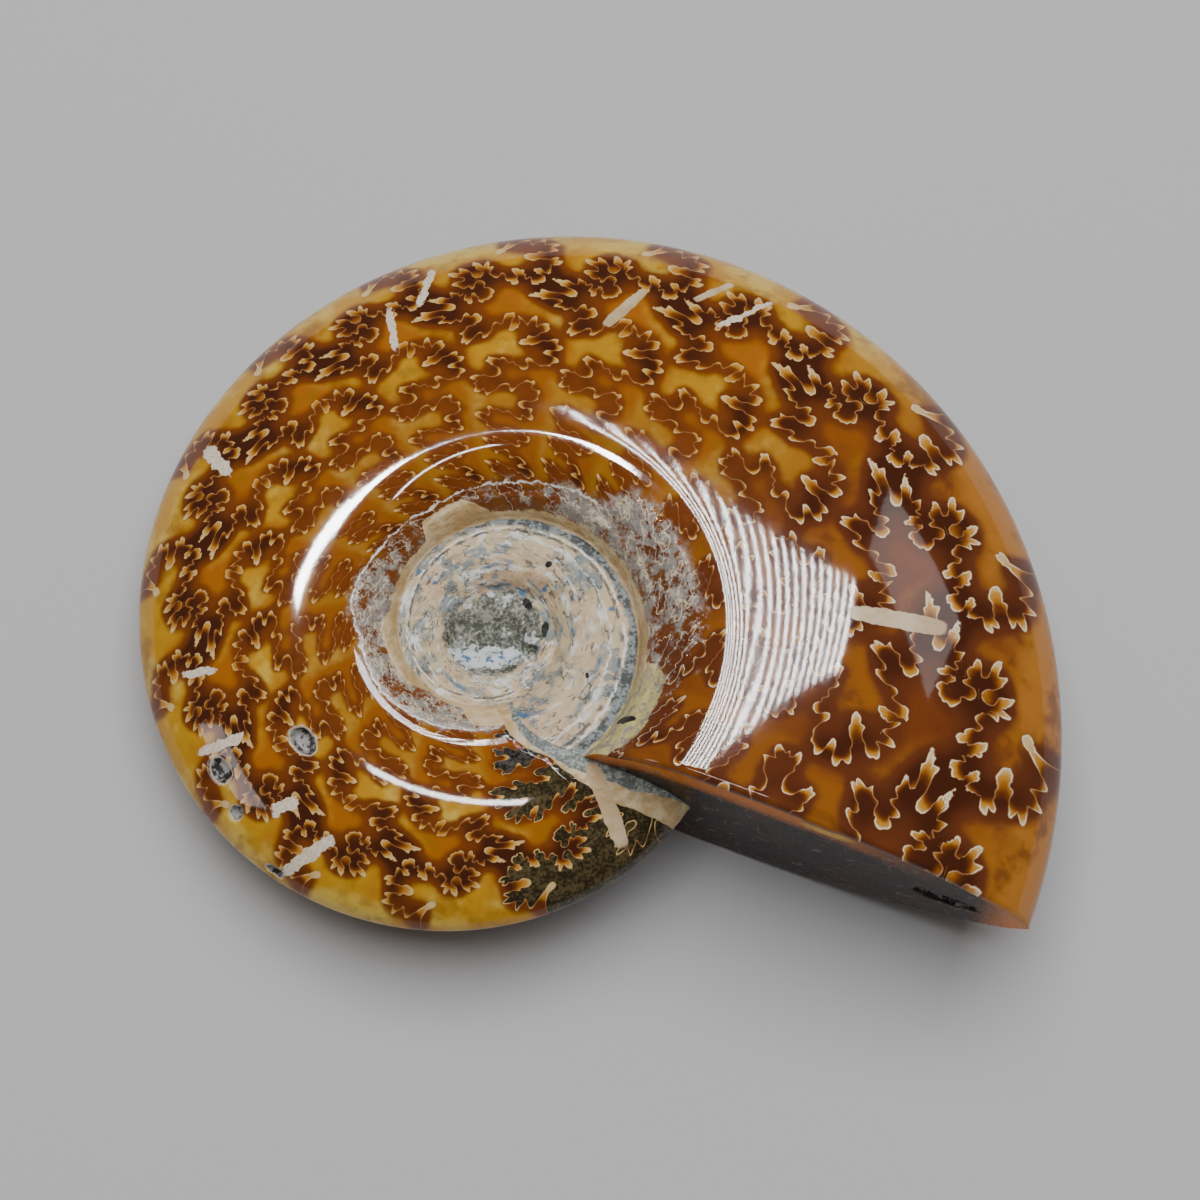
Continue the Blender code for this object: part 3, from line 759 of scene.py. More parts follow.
# The chamber number is worked out on a sheet that covers one spacing of the walls, blurred, and read
# back at any point. A frill's tip has more of the other chamber round it, so its number is far off.
SHEET_STEP = 0.0025
SHEET_DEPTH = 1.4
CHAMBER_BLUR = 9
sheet_x = np.arange(0.0, WALL_SPACING - 1e-9, SHEET_STEP)
sheet_depth = np.arange(0.0, SHEET_DEPTH, SHEET_STEP)
grid_x, grid_depth = np.meshgrid(sheet_x, sheet_depth, indexing="ij")
count_at, way_at = suture_readings(grid_x.ravel(), grid_depth.ravel())[:2]
wall_at = np.round(count_at)
over = 2.0 * BAND_HALF_WIDTH * (count_at - wall_at) > np.interp(way_at, frill_way, frill_height)
chambers = (wall_at - 0.5 + over).reshape(grid_x.shape) - grid_x / WALL_SPACING
tiled = np.concatenate((chambers, chambers, chambers))
tiled = np.stack([smoothed(column, CHAMBER_BLUR) for column in tiled.T], axis=1)
tiled = np.stack([smoothed(row, CHAMBER_BLUR) for row in tiled], axis=0)
sheet = np.concatenate((tiled[len(sheet_x) : 2 * len(sheet_x)], tiled[len(sheet_x)][None]))


def blurred_chamber(x, depth):
    """The blurred chamber number, blended between the four nearest places on the sheet."""
    column = np.mod(x, WALL_SPACING) / SHEET_STEP
    row = np.clip(depth / SHEET_STEP, 0.0, len(sheet_depth) - 1.001)
    left = np.minimum(column.astype(int), len(sheet) - 2)
    low = row.astype(int)
    across, up = np.minimum(column - left, 1.0), row - low
    near = sheet[left, low] * (1.0 - across) + sheet[left + 1, low] * across
    far = sheet[left, low + 1] * (1.0 - across) + sheet[left + 1, low + 1] * across
    return near * (1.0 - up) + far * up + x / WALL_SPACING


# Ten readings a point: those of the sutures, the turn, the depth and the blurred chamber number.
readings = np.zeros((len(laid), 10))
readings[:, 0] = 0.5
readings[:, 5] = 1.0
readings[:, 6] = 0.5
for numbers, turns, depths in (
    (upper_numbers, turn, depth[None, :] + 0.0 * turn),
    (lower_numbers, turn[::2, ::2], depth[None, ::2] + 0.0 * turn[::2, ::2]),
):
    turns, depths = turns.ravel(), depths.ravel()
    x = WALL_SPACING * wall_count(turns - lean(turns, depths))
    measured = suture_readings(x, depths)
    readings[numbers.ravel()] = np.stack((*measured, turns, depths, blurred_chamber(x, depths)), axis=1)

# Crust and chalk cling to the umbilical wall, left from the rock round the shell. Inwards along a
# turn come the chipped shoulder, with a painted highlight along it, chalky frills, then tan crust
# down to the seam. Each is drawn as turns in degrees with a depth or share, and the corner's strips
# as depths with millimetres.
SHOULDER = (
    (0, 1.12), (40, 0.98), (90, 0.98), (102, 1.145), (180, 1.15), (205, 1.10), (235, 0.98), (253, 1.02),
    (281, 0.98), (360, 0.98),
)
CHALK = ((0, 0.3), (30, 0.5), (50, 0.85), (120, 0.85), (137, 0.45), (200, 0.5), (225, 0.85), (360, 0.9))
CRUST = (
    (0, 1.22), (10, 1.14), (30, 1.14), (40, 1.28), (160, 1.31), (169, 1.19), (191, 1.19), (198, 1.30),
    (243, 1.28), (250, 1.20), (289, 1.21), (300, 1.30), (325, 1.26), (334, 1.04), (360, 1.00),
)
NOT_ON_WALL = 0.3
FAR_OFF = 9.0
BEYOND_STRIP = 0.6
BLUE_STRIP = ((0.0, 0.0), (0.2, 1.6), (0.5, 2.2), (0.8, 1.2), (1.0, 0.7), (1.4, 0.5))
TAN_STRIP = (
    (0.0, 3.4), (0.15, 2.6), (0.35, 1.7), (0.5, 0.6), (0.62, 0.1), (0.75, 0.9), (1.0, 1.1), (1.4, 1.3),
)


def drawn(points, where):
    """Values at places on a line that runs straight from each given point to the next."""
    places, values = np.array(points).T
    return np.interp(where, places, values)


turns_back, depths = readings[:, 7], readings[:, 8]
degrees = np.degrees(turns_back)
gap = 1000.0 * (math.tau - turns_back) * VENTER_RADIUS * np.exp(-GROWTH * turns_back - depths)
gap[depths > WHORL_STEP + BEYOND_STRIP] = FAR_OFF
crust_depth = depths - drawn(CRUST, degrees)
shoulder_depth = depths - drawn(SHOULDER, degrees)
strip = gap - drawn(BLUE_STRIP, depths)
wedge = strip - drawn(TAN_STRIP, depths)
flank_count = upper_numbers.size + lower_numbers.size
in_core = (np.arange(len(laid)) >= flank_count).astype(float)
for values in (crust_depth, shoulder_depth):
    values[flank_count:] = NOT_ON_WALL
for values in (strip, wedge):
    values[flank_count:] = FAR_OFF

# The mesh keeps only the points that a triangle uses, and carries the readings for the material.
# Where the way along the course jumps within a triangle, no line is drawn in it.
JUMP_LIMIT = 0.10
used = np.zeros(len(laid), dtype=bool)
used[triangles.ravel()] = True
renumber = np.cumsum(used) - 1
mesh = bpy.data.meshes.new("polished_ammonite")
mesh.from_pydata(laid[used], [], renumber[triangles].tolist())
mesh.shade_smooth()
mesh.update()


def attach(name, values):
    """Stores one vector for each vertex of the mesh under that name."""
    attribute = mesh.attributes.new(name, "FLOAT_VECTOR", "POINT")
    attribute.data.foreach_set("vector", np.ascontiguousarray(values[used], dtype=np.float32).ravel())


attach("suture", readings[:, 0:3])
attach("bulge", readings[:, 3:6])
attach("place", readings[:, [7, 8, 6]])
attach("wall", np.stack((crust_depth, drawn(CHALK, degrees), shoulder_depth), axis=1))
attach("corner", np.stack((strip, wedge, in_core), axis=1))
ways = readings[used][:, 1][renumber[triangles]]
jump = mesh.attributes.new("jump", "FLOAT", "FACE")
jump.data.foreach_set("value", (np.ptp(ways, axis=1) > JUMP_LIMIT).astype(np.float32))
face_plan = np.hypot(shape[:, 0], shape[:, 1])
face_plan_share = face_plan / VENTER_RADIUS
rim_height = np.interp(face_plan_share, share[0, ::-1], upper[0, ::-1, 2])
under_rim = 1000.0 * (rim_height - shape[:, 2])
attach("face", np.stack((under_rim, face_plan_share, readings[:, 9]), axis=1))


# The polished stone is one material, worked out from what the mesh stores and from noise in the
# stone. A reading is a number that varies over the surface.
class Reading:
    """A number that varies over the surface; arithmetic on readings adds Math nodes."""

    def __init__(self, socket):
        self.socket = socket

    def math(self, operation, *others):
        """The operation on this reading and the others, as one Math node gives it."""
        node = self.socket.id_data.nodes.new("ShaderNodeMath")
        node.operation = operation
        for port, value in zip(node.inputs, (self,) + others):
            feed(port, value)
        return Reading(node.outputs[0])

    def __add__(self, other):
        return self.math("ADD", other)

    def __radd__(self, other):
        return self.math("ADD", other)

    def __sub__(self, other):
        return self.math("SUBTRACT", other)

    def __rsub__(self, other):
        return self.math("MULTIPLY_ADD", -1.0, other)

    def __mul__(self, other):
        return self.math("MULTIPLY", other)

    def __rmul__(self, other):
        return self.math("MULTIPLY", other)

    def __truediv__(self, other):
        return self.math("DIVIDE", other)

    def __neg__(self):
        return self.math("MULTIPLY", -1.0)

    def __abs__(self):
        return self.math("ABSOLUTE")


def feed(port, value):
    """Links a reading, a colour socket or a plain value to an input."""
    if isinstance(value, Reading):
        value = value.socket
    if isinstance(value, bpy.types.NodeSocket):
        port.id_data.links.new(value, port)
    else:
        port.default_value = value


def rise(value, low, high):
    """0 below low, 1 above high and eased between, as 3 squares less 2 cubes; low may be greater."""
    node = value.socket.id_data.nodes.new("ShaderNodeMapRange")
    node.interpolation_type = "SMOOTHSTEP"
    feed(node.inputs["Value"], value)
    feed(node.inputs["From Min"], low)
    feed(node.inputs["From Max"], high)
    return Reading(node.outputs["Result"])


def tint(share, first, second):
    """A colour that goes from the first to the second as the share goes from 0 to 1."""
    node = share.socket.id_data.nodes.new("ShaderNodeMix")
    node.data_type = "RGBA"
    feed(node.inputs["Factor"], share)
    feed(node.inputs[6], first)
    feed(node.inputs[7], second)
    return node.outputs[2]


def paint(red, green, blue):
    """A colour in the 0 to 255 steps of a colour picker, as linear values by the sRGB curve."""
    steps = np.array((red, green, blue)) / 255.0
    linear = np.where(steps > 0.04045, ((steps + 0.055) / 1.055) ** 2.4, steps / 12.92)
    return (*linear.tolist(), 1.0)


def parts_of(tree, name):
    """A vector stored on the mesh, and its three numbers."""
    source = tree.nodes.new("ShaderNodeAttribute")
    source.attribute_name = name
    split = tree.nodes.new("ShaderNodeSeparateXYZ")
    tree.links.new(source.outputs["Vector"], split.inputs[0])
    return source.outputs["Vector"], [Reading(port) for port in split.outputs]


def cloud(tree, coordinates, scale, detail=2.0, flat=False):
    """Noise from 0 to 1 in three independent numbers, summed over octaves that double in scale."""
    node = tree.nodes.new("ShaderNodeTexNoise")
    node.noise_dimensions = "2D" if flat else "3D"
    tree.links.new(coordinates, node.inputs["Vector"])
    node.inputs["Scale"].default_value = scale
    node.inputs["Detail"].default_value = detail
    split = tree.nodes.new("ShaderNodeSeparateColor")
    tree.links.new(node.outputs["Color"], split.inputs[0])
    return [Reading(port) for port in split.outputs]


PIECE = 255
HEIGHT_SCALE = 5.0


def frill_profile():
    """A node group that gives the drawn line's height over the course from the way along it.

    The heights are kept as float curves of one piece each. A piece holds its first value before
    its start and its last value after its end, so the changes of all the pieces add up.
    """
    group = bpy.data.node_groups.new("frill_profile", "ShaderNodeTree")
    group.interface.new_socket("way", in_out="INPUT", socket_type="NodeSocketFloat")
    group.interface.new_socket("height", in_out="OUTPUT", socket_type="NodeSocketFloat")
    way = Reading(group.nodes.new("NodeGroupInput").outputs[0])
    total = way * 0.0 + float(frill_height[0])
    for start in range(0, len(frill_height) - 1, PIECE):
        heights = frill_height[start : start + PIECE + 1]
        heights = np.pad(heights, (0, PIECE + 1 - len(heights)), mode="edge")
        levels = 0.5 + HEIGHT_SCALE * (heights - heights[0])
        node = group.nodes.new("ShaderNodeFloatCurve")
        points = node.mapping.curves[0].points
        points[0].location = (0.0, float(levels[0]))
        points[1].location = (1.0, float(levels[-1]))
        for number in range(1, PIECE):
            points.new(number / PIECE, float(levels[number]))
        for point in points:
            point.handle_type = "VECTOR"
        node.mapping.extend = "HORIZONTAL"
        node.mapping.update()
        feed(node.inputs["Value"], (way - float(start * FRILL_STEP)) / (PIECE * FRILL_STEP))
        total = total + (Reading(node.outputs[0]) - 0.5) / HEIGHT_SCALE
    feed(group.nodes.new("NodeGroupOutput").inputs[0], total)
    return group


# Noise in the stone comes in clouds of several sizes: a scale in waves a metre, and its detail.
MOTTLE = (18.0, 3.0)
BROAD_CLOUDS = (170.0, 3.0)
SMALL_CLOUDS = (700.0, 4.0)
GRAINS = (2600.0, 2.0)
stone = bpy.data.materials.new("polished_calcite")
stone.use_nodes = True
tree = stone.node_tree
shader = tree.nodes["Principled BSDF"]
object_place = tree.nodes.new("ShaderNodeTexCoord").outputs["Object"]
place_vector, (turn_here, depth_here, older_share) = parts_of(tree, "place")
_, (count_here, way, reach) = parts_of(tree, "suture")
_, (bulge_here, density, stretch) = parts_of(tree, "bulge")
_, (crust_here, chalk_here, shoulder_here) = parts_of(tree, "wall")
_, (strip_here, wedge_here, core_here) = parts_of(tree, "corner")
_, (_, _, blurred_here) = parts_of(tree, "face")
jumpy = tree.nodes.new("ShaderNodeAttribute")
jumpy.attribute_name = "jump"
jumpy = Reading(jumpy.outputs["Fac"])
profile = frill_profile()
mottle = cloud(tree, place_vector, *MOTTLE, flat=True)
broad = cloud(tree, object_place, *BROAD_CLOUDS)
small = cloud(tree, object_place, *SMALL_CLOUDS)
grain = cloud(tree, object_place, *GRAINS)


def drawn_height(way):
    """The drawn line's height at a way along the course, held between minus and plus the reach."""
    node = tree.nodes.new("ShaderNodeGroup")
    node.node_tree = profile
    feed(node.inputs[0], way)
    return Reading(node.outputs[0]).math("MINIMUM", reach).math("MAXIMUM", -reach)


# A point is beside the line by its offset from the course less the line's height there. The heights
# a line's width before and after are taken too, so that the line keeps its width where it is steep.
LINE_HALF_WIDTH = 0.0011
wall = count_here.math("ROUND")
offset = (count_here - wall) * (2.0 * BAND_HALF_WIDTH)
step = (stretch / LINE_HALF_WIDTH).math("POWER", -1.0)
height = drawn_height(way)
height_before, height_after = drawn_height(way - step), drawn_height(way + step)
lowest = height.math("MINIMUM", height_before).math("MINIMUM", height_after)
highest = height.math("MAXIMUM", height_before).math("MAXIMUM", height_after)
beside = (lowest - offset).math("MAXIMUM", offset - highest)
older = offset.math("GREATER_THAN", height)
side = older * 2.0 - 1.0

# Between the frills the calcite is clear gold over the chambers' middles, orange towards each older
# wall, and brown to black where the frills crowd together. The right side is darker all over.
GOLD = paint(206, 150, 30)
PALE_GOLD = paint(226, 188, 78)
RIGHT_GOLD = paint(156, 92, 30)
ORANGE = paint(174, 102, 22)
RIGHT_ORANGE = paint(120, 60, 24)
EDGE_GOLD = paint(186, 120, 44)
OLIVE_GOLD = paint(150, 106, 24)
INNER_BROWN = paint(142, 80, 24)
BROWN = paint(126, 64, 18)
RIGHT_BROWN = paint(104, 52, 24)
DARK = paint(72, 32, 13)
right = rise(turn_here + (broad[0] - 0.5) * 0.5, 1.45, 0.85)
crowding = density + (mottle[1] - 0.5) * 0.40 + (small[1] - 0.5) * 0.16
warmth = rise(older_share + (mottle[0] - 0.5) * 0.35, 0.20, 0.75)
clear = tint(rise(broad[2] + (small[0] - 0.5) * 0.5, 0.50, 0.78), GOLD, PALE_GOLD)
clear = tint(right, clear, RIGHT_GOLD)
clear = tint(warmth, clear, tint(right, ORANGE, RIGHT_ORANGE))
edge_gold = tint(rise(broad[2], 0.45, 0.62), GOLD, PALE_GOLD)
at_edge = rise(depth_here + (broad[1] - 0.5) * 0.20, 0.15, 0.03)
clear = tint(at_edge, clear, tint(right, edge_gold, EDGE_GOLD))
clear = tint(rise(depth_here + (broad[0] - 0.5) * 0.6, 0.25, 0.90) * 0.7, clear, INNER_BROWN)
stained = rise(small[2] * 0.4 + broad[1] * 0.8, 0.62, 0.78) * 0.6
clear = tint(stained, clear, tint(right, OLIVE_GOLD, RIGHT_BROWN))
body = tint(rise(crowding, 0.46, 1.05), clear, tint(right, BROWN, RIGHT_BROWN))
body = tint(rise(crowding, 0.98, 2.00), body, DARK)

# The frills glow where they reach over into the next chamber: brown at the root, then amber, and
# pale at the tip, where the line itself is thick and cream. In the notches between, it is thin.
ROOT = paint(128, 66, 16)
AMBER = paint(206, 142, 48)
TIP = paint(232, 198, 138)
DIM_LINE = paint(164, 112, 66)
CREAM = paint(240, 226, 198)
WARM_CREAM = paint(224, 192, 124)
outer = (bulge_here * side * 0.50 + 0.75).math("MAXIMUM", 0.0).math("MINIMUM", 1.0)
alone = abs(blurred_here - (wall - 0.5 + older))
glow = rise(alone + (small[0] - 0.5) * 0.10, 0.36, 0.80) * outer
body = tint(rise(glow, 0.06, 0.36), body, ROOT)
body = tint(rise(glow, 0.24, 0.64), body, AMBER)
body = tint(rise(glow, 0.66, 1.0), body, TIP)
line_reach = LINE_HALF_WIDTH * 0.75 + rise(glow, 0.25, 0.85) * 0.0026 * (small[2] * 1.2 + 0.4)
line = rise(beside - line_reach, 0.0007, -0.0005) * (1.0 - jumpy)
line_colour = tint(rise(glow, 0.25, 0.75), DIM_LINE, tint(right, WARM_CREAM, CREAM))

# The last chambers before the aperture's corner are full of mud that turned to stone, grainy olive
# near the venter and grey further in.
MUD_CHAMBERS = (13.4, 13.6)
OLIVE = paint(46, 38, 20)
OLIVE_LIGHT = paint(96, 82, 52)
MUD = paint(36, 31, 28)
MUD_LIGHT = paint(92, 86, 80)
chamber = wall - 1.0 + older
mud = tint(rise(grain[0] + (small[0] - 0.5) * 0.8, 0.35, 0.75), OLIVE, OLIVE_LIGHT)
grey_mud = tint(rise(grain[1] + (small[1] - 0.5) * 0.8, 0.35, 0.75), MUD, MUD_LIGHT)
inward = rise(depth_here + (broad[1] - 0.5) * 0.3, 0.50, 0.72)
muddy = rise(chamber, *MUD_CHAMBERS)
body = tint(muddy, body, tint(inward, mud, grey_mud))
body = tint(line, body, line_colour)

# Chalk fills the frills on the umbilical wall, and tan crust covers its foot and the corner by the
# aperture, where a blue-grey strip of shell lies against the face.
CHALK_GREY = paint(150, 142, 134)
CHALK_CREAM = paint(220, 206, 180)
TAN = paint(202, 168, 116)
CRUST_CREAM = paint(232, 208, 164)
CRUST_YELLOW = paint(208, 194, 128)
SHELL_BLUE = paint(104, 110, 106)
SHELL_PALE = paint(176, 180, 172)
# White for chipped edges, and for the painted highlight along the shoulder.
CHIP_AND_HIGHLIGHT_WHITE = paint(246, 242, 234)
SHOULDER_LINE_STARTS = (1.7, 1.9)
SHOULDER_LINE_ENDS = (5.75, 5.5)
near_shoulder = rise(shoulder_here + (small[0] - 0.5) * 0.16, -0.05, 0.05)
ragged = small[1] * 0.65 + grain[2] * 0.35 + (broad[1] - 0.5) * 0.5
body = tint(near_shoulder * rise(crust_here, 0.1, -0.02) * 0.65, body, RIGHT_BROWN)
chalky = rise(ragged + chalk_here * 0.42, 0.74, 0.88) * near_shoulder
chalky = chalky * (1.0 - rise(glow, 0.25, 0.70) * 0.75)
chalk = tint(rise(small[2] + (grain[0] - 0.5) * 0.6, 0.46, 0.72), CHALK_GREY, CHALK_CREAM)
frilled_edge = rise(beside - line_reach, 0.0060, 0.0020) * (1.0 - jumpy)
chalk = tint(frilled_edge, chalk, CHALK_CREAM)
body = tint(chalky, body, chalk)
body = tint(line * near_shoulder, body, CHALK_CREAM)
crusty = rise(crust_here + (small[2] - 0.5) * 0.05 + (grain[1] - 0.5) * 0.02, -0.006, 0.006)
crust = tint(rise(broad[0] + (small[1] - 0.5) * 0.5, 0.38, 0.66), TAN, CRUST_CREAM)
yellow = tint(rise(small[0] + (grain[0] - 0.5) * 0.6, 0.46, 0.62), CRUST_YELLOW, CHALK_GREY)
crust = tint(rise(turn_here, 0.75, 0.45), crust, yellow)
body = tint(crusty, body, crust)
# Along the shoulder a white line is painted: partly chipped edge, partly a painted highlight.
off_shoulder_line = (abs(shoulder_here + (small[1] - 0.5) * 0.07) - 0.005) * 60.0
chips_and_highlight = rise(off_shoulder_line + (grain[0] - 0.5) * 1.8 + (small[2] - 0.5) * 1.6, 0.35, -0.35)
chips_and_highlight = chips_and_highlight * rise(turn_here, *SHOULDER_LINE_STARTS) * rise(turn_here, *SHOULDER_LINE_ENDS)
body = tint(chips_and_highlight, body, CHIP_AND_HIGHLIGHT_WHITE)
wedged = rise(wedge_here + (small[0] - 0.5) * 0.7, 0.08, -0.08)
stripped = rise(strip_here + (small[1] - 0.5) * 0.8, 0.08, -0.08)
strip_colour = tint(rise(small[2] + (grain[2] - 0.5), 0.40, 0.75), SHELL_BLUE, SHELL_PALE)
body = tint(wedged, body, tint(rise(small[0], 0.35, 0.65), TAN, CRUST_CREAM))
body = tint(stripped, body, strip_colour)


def framed(coordinates, centre, axes, sizes):
    """Coordinates less a centre, turned to three axes and divided by sizes, as three readings."""
    node = tree.nodes.new("ShaderNodeMapping")
    node.vector_type = "TEXTURE"
    feed(node.inputs["Vector"], coordinates)
    node.inputs["Location"].default_value = centre
    node.inputs["Rotation"].default_value = Matrix(axes).transposed().to_euler("XYZ")
    node.inputs["Scale"].default_value = sizes
    split = tree.nodes.new("ShaderNodeSeparateXYZ")
    tree.links.new(node.outputs[0], split.inputs[0])
    return [Reading(port) for port in split.outputs]


def blurred_place(amount):
    """Object coordinates plus the amount times noise less a half: what they draw has rough edges."""
    noise = tree.nodes.new("ShaderNodeCombineXYZ")
    for port, reading in zip(noise.inputs, small):
        feed(port, reading)
    node = tree.nodes.new("ShaderNodeVectorMath")
    node.operation = "MULTIPLY_ADD"
    tree.links.new(noise.outputs[0], node.inputs[0])
    node.inputs[1].default_value = (amount, amount, amount)
    shift = tree.nodes.new("ShaderNodeVectorMath")
    shift.operation = "SUBTRACT"
    tree.links.new(object_place, shift.inputs[0])
    shift.inputs[1].default_value = (amount / 2.0, amount / 2.0, amount / 2.0)
    tree.links.new(shift.outputs[0], node.inputs[2])
    return node.outputs[0]


# Old cracks healed with cream calcite, and the polish cut them level. Each runs from one place on the
# flank to another, given as turn in degrees and share of the way to the venter, then comes its
# width. It is drawn where the fourth powers of the shares of its half sizes add up to less than one.
CRACKS = (
    (139.0, 0.814, 134.5, 0.912, 0.0010, True), (144.0, 0.840, 147.8, 0.720, 0.0009, True),
    (107.0, 0.698, 101.5, 0.812, 0.0015, False), (93.5, 0.828, 89.8, 0.908, 0.0010, False),
    (88.2, 0.790, 83.8, 0.906, 0.0008, True), (182.5, 0.906, 187.0, 0.808, 0.0017, True),
    (227.2, 0.866, 230.5, 0.776, 0.0011, True), (269.0, 0.970, 276.5, 0.828, 0.0014, True),
    (262.0, 0.854, 266.3, 0.782, 0.0014, True), (242.0, 0.905, 246.5, 0.785, 0.0012, True),
    (34.5, 0.632, 30.2, 0.792, 0.0022, False), (358.0, 0.654, 343.5, 0.928, 0.0020, False),
)
CRACK_DEPTH = 0.005
HEALED = paint(222, 200, 164)
HEALED_TAN = paint(202, 172, 128)
HEALED_WHITE = paint(238, 226, 208)
rough_place = blurred_place(0.0007)
rougher_place = blurred_place(0.0016)


def least(outs):
    """The least of several readings."""
    lowest = outs[0]
    for out in outs[1:]:
        lowest = lowest.math("MINIMUM", out)
    return lowest


smooth_cracks, grainy_cracks = [], []
for turn_from, s_from, turn_to, s_to, width, grainy in CRACKS:
    ends = flank_points(np.radians((turn_from, turn_to)), np.array((s_from, s_to)))
    first_end, last_end = laid_down(ends)
    run = last_end - first_end
    heading_here = math.atan2(run[1], run[0])
    axes = np.array(Matrix.Rotation(-heading_here, 3, "Z"))
    sizes = (np.linalg.norm(run) / 2.0, width / 2.0, CRACK_DEPTH)
    parts = framed(rougher_place if grainy else rough_place, (first_end + last_end) / 2.0, axes, sizes)
    squares = [part * part for part in parts]
    out = squares[0] * squares[0] + squares[1] * squares[1] + squares[2] * squares[2]
    (grainy_cracks if grainy else smooth_cracks).append(out)
healed = rise(least(smooth_cracks), 1.25, 0.85)
healed_grainy = rise(least(grainy_cracks) + (grain[0] - 0.5) * 1.6, 1.3, 0.8)
healed_colour = tint(rise(broad[1] + (small[1] - 0.5) * 0.4, 0.35, 0.65), HEALED_TAN, HEALED)
body = tint(healed, body, healed_colour)
body = tint(healed_grainy, body, tint(rise(grain[1], 0.3, 0.6), HEALED, HEALED_WHITE))

# Inside the pits bare grey crystals show, dark in the corners, with a whitish edge.
PIT_GREY = paint(158, 154, 150)
PIT_DARK = paint(34, 30, 27)
PIT_EDGE = paint(228, 216, 196)
OPEN_PITS = 4
pits = []
for centre, axes, (length, width, sinking) in openings[:OPEN_PITS]:
    parts = framed(rough_place, centre, axes, (length / 2.0, width / 2.0, 4.0 * sinking))
    pits.append(parts[0] * parts[0] + parts[1] * parts[1] + parts[2] * parts[2])
pit = least(pits)
in_pit = rise(pit, 1.0, 0.8)
pit_colour = tint(rise(small[0] + (grain[2] - 0.5) * 0.5, 0.56, 0.44), PIT_GREY, PIT_DARK)
body = tint(rise(pit + (small[1] - 0.5) * 0.8, 1.35, 1.05) * 0.7, body, PIT_EDGE)
body = tint(in_pit, body, pit_colour)

# The inner whorls keep their nacre, cream and peach with grey and blue streaks round the pole. The
# middle is broken down to grainy grey-green rock with crystals and a few holes, whose shade is
# painted in as dark patches. A groove and chipped white edges follow the seam, at places given in
# whorls in from it.
NACRE = paint(214, 194, 156)
PEACH = paint(222, 190, 152)
NACRE_GREY = paint(138, 146, 146)
NACRE_WHITE = paint(240, 240, 234)
NACRE_BLUE = paint(76, 118, 156)
GROOVE = paint(62, 68, 68)
ROCK = paint(74, 76, 66)
ROCK_LIGHT = paint(158, 158, 144)
CRYSTALS_PLACE = (-0.0012, -0.0026, 0.0)
CRYSTALS_SIZES = (0.0050, 0.0016, 1.0)
CRYSTAL = paint(214, 220, 222)
# The painted shade inside the holes.
HOLE_SHADE = paint(22, 20, 18)
GROOVE_PLACE = 0.045
FIRST_EDGE = 0.11
UNDER_EDGE = 0.145
SECOND_EDGE = 0.24
ROCK_RADIUS = (0.0060, 0.0054)
ALMOST_NOTHING = 1e-5
pole = laid_down(np.zeros(3))
back_to_start = Matrix.Rotation(math.asin(APERTURE_OFFSET) - APERTURE_DIRECTION, 3, "Z")
grown_axes = np.array(back_to_start) @ np.array(tilt).T
x_here, y_here, _ = framed(object_place, pole, grown_axes, (1.0, 1.0, 1.0))
distance = (x_here * x_here + y_here * y_here).math("SQRT") + ALMOST_NOTHING
around_pole = (y_here.math("ARCTAN2", x_here) + EARLY_START).math("FLOORED_MODULO", math.tau) - EARLY_START
seam_shares = (distance / (VENTER_RADIUS * SEAM)).math("LOGARITHM", math.e)
whorls_in = (seam_shares + around_pole * GROWTH) / -WHORL_STEP
wander = (small[0] - 0.5) * 0.10 + (broad[2] - 0.5) * 0.12
core = tint(rise(broad[0] + (small[1] - 0.5) * 0.6, 0.42, 0.60), NACRE, PEACH)
core = tint(rise(broad[1] + (small[2] - 0.5) * 0.8, 0.50, 0.66), core, NACRE_GREY)
core = tint(rise(small[0] + (broad[2] - 0.5) * 0.8, 0.62, 0.74), core, NACRE_WHITE)
core = tint(rise(small[1] * 0.6 + broad[0] * 0.5, 0.66, 0.72), core, NACRE_BLUE)
around = tree.nodes.new("ShaderNodeCombineXYZ")
feed(around.inputs[0], x_here / distance * 1.3)
feed(around.inputs[1], y_here / distance * 1.3)
feed(around.inputs[2], distance.math("LOGARITHM", math.e) * 5.5)
streaks = cloud(tree, around.outputs[0], 1.6, 3.0)
core = tint(rise(streaks[0], 0.55, 0.68), core, NACRE_WHITE)
core = tint(rise(streaks[1] + (small[1] - 0.5) * 0.3, 0.56, 0.66) * 0.85, core, NACRE_GREY)
core = tint(rise(abs(streaks[2] - 0.5), 0.020, 0.006) * rise(small[0], 0.40, 0.50) * 0.8, core, GROOVE)
core = tint(rise(streaks[1] + (grain[1] - 0.5) * 0.3, 0.66, 0.74), core, NACRE_BLUE)
groove_width = broad[1] * 0.16 - 0.035
groove = rise(abs(whorls_in + wander * 0.6 - GROOVE_PLACE) - groove_width, 0.02, -0.015)
groove_colour = tint(rise(small[0] + (grain[1] - 0.5) * 0.7, 0.42, 0.60), GROOVE, NACRE_GREY)
core = tint(groove * rise(around_pole, 3.1, 2.2), core, groove_colour)
broken = rise(small[1] + (grain[0] - 0.5) * 0.5, 0.40, 0.52)
edge = rise(abs(whorls_in + wander * 0.5 - FIRST_EDGE) - small[2] * 0.016, 0.008, -0.004)
core = tint(edge * broken, core, CHIP_AND_HIGHLIGHT_WHITE)
second_edge = rise(abs(whorls_in + wander * 0.9 - SECOND_EDGE) - small[0] * 0.014, 0.008, -0.004)
core = tint(second_edge * broken * rise(around_pole, 1.9, 1.3), core, CHIP_AND_HIGHLIGHT_WHITE)
under_edge = rise(abs(whorls_in + wander * 0.5 - UNDER_EDGE), 0.022, 0.008)
core = tint(under_edge * rise(small[0], 0.42, 0.55) * 0.8, core, GROOVE)
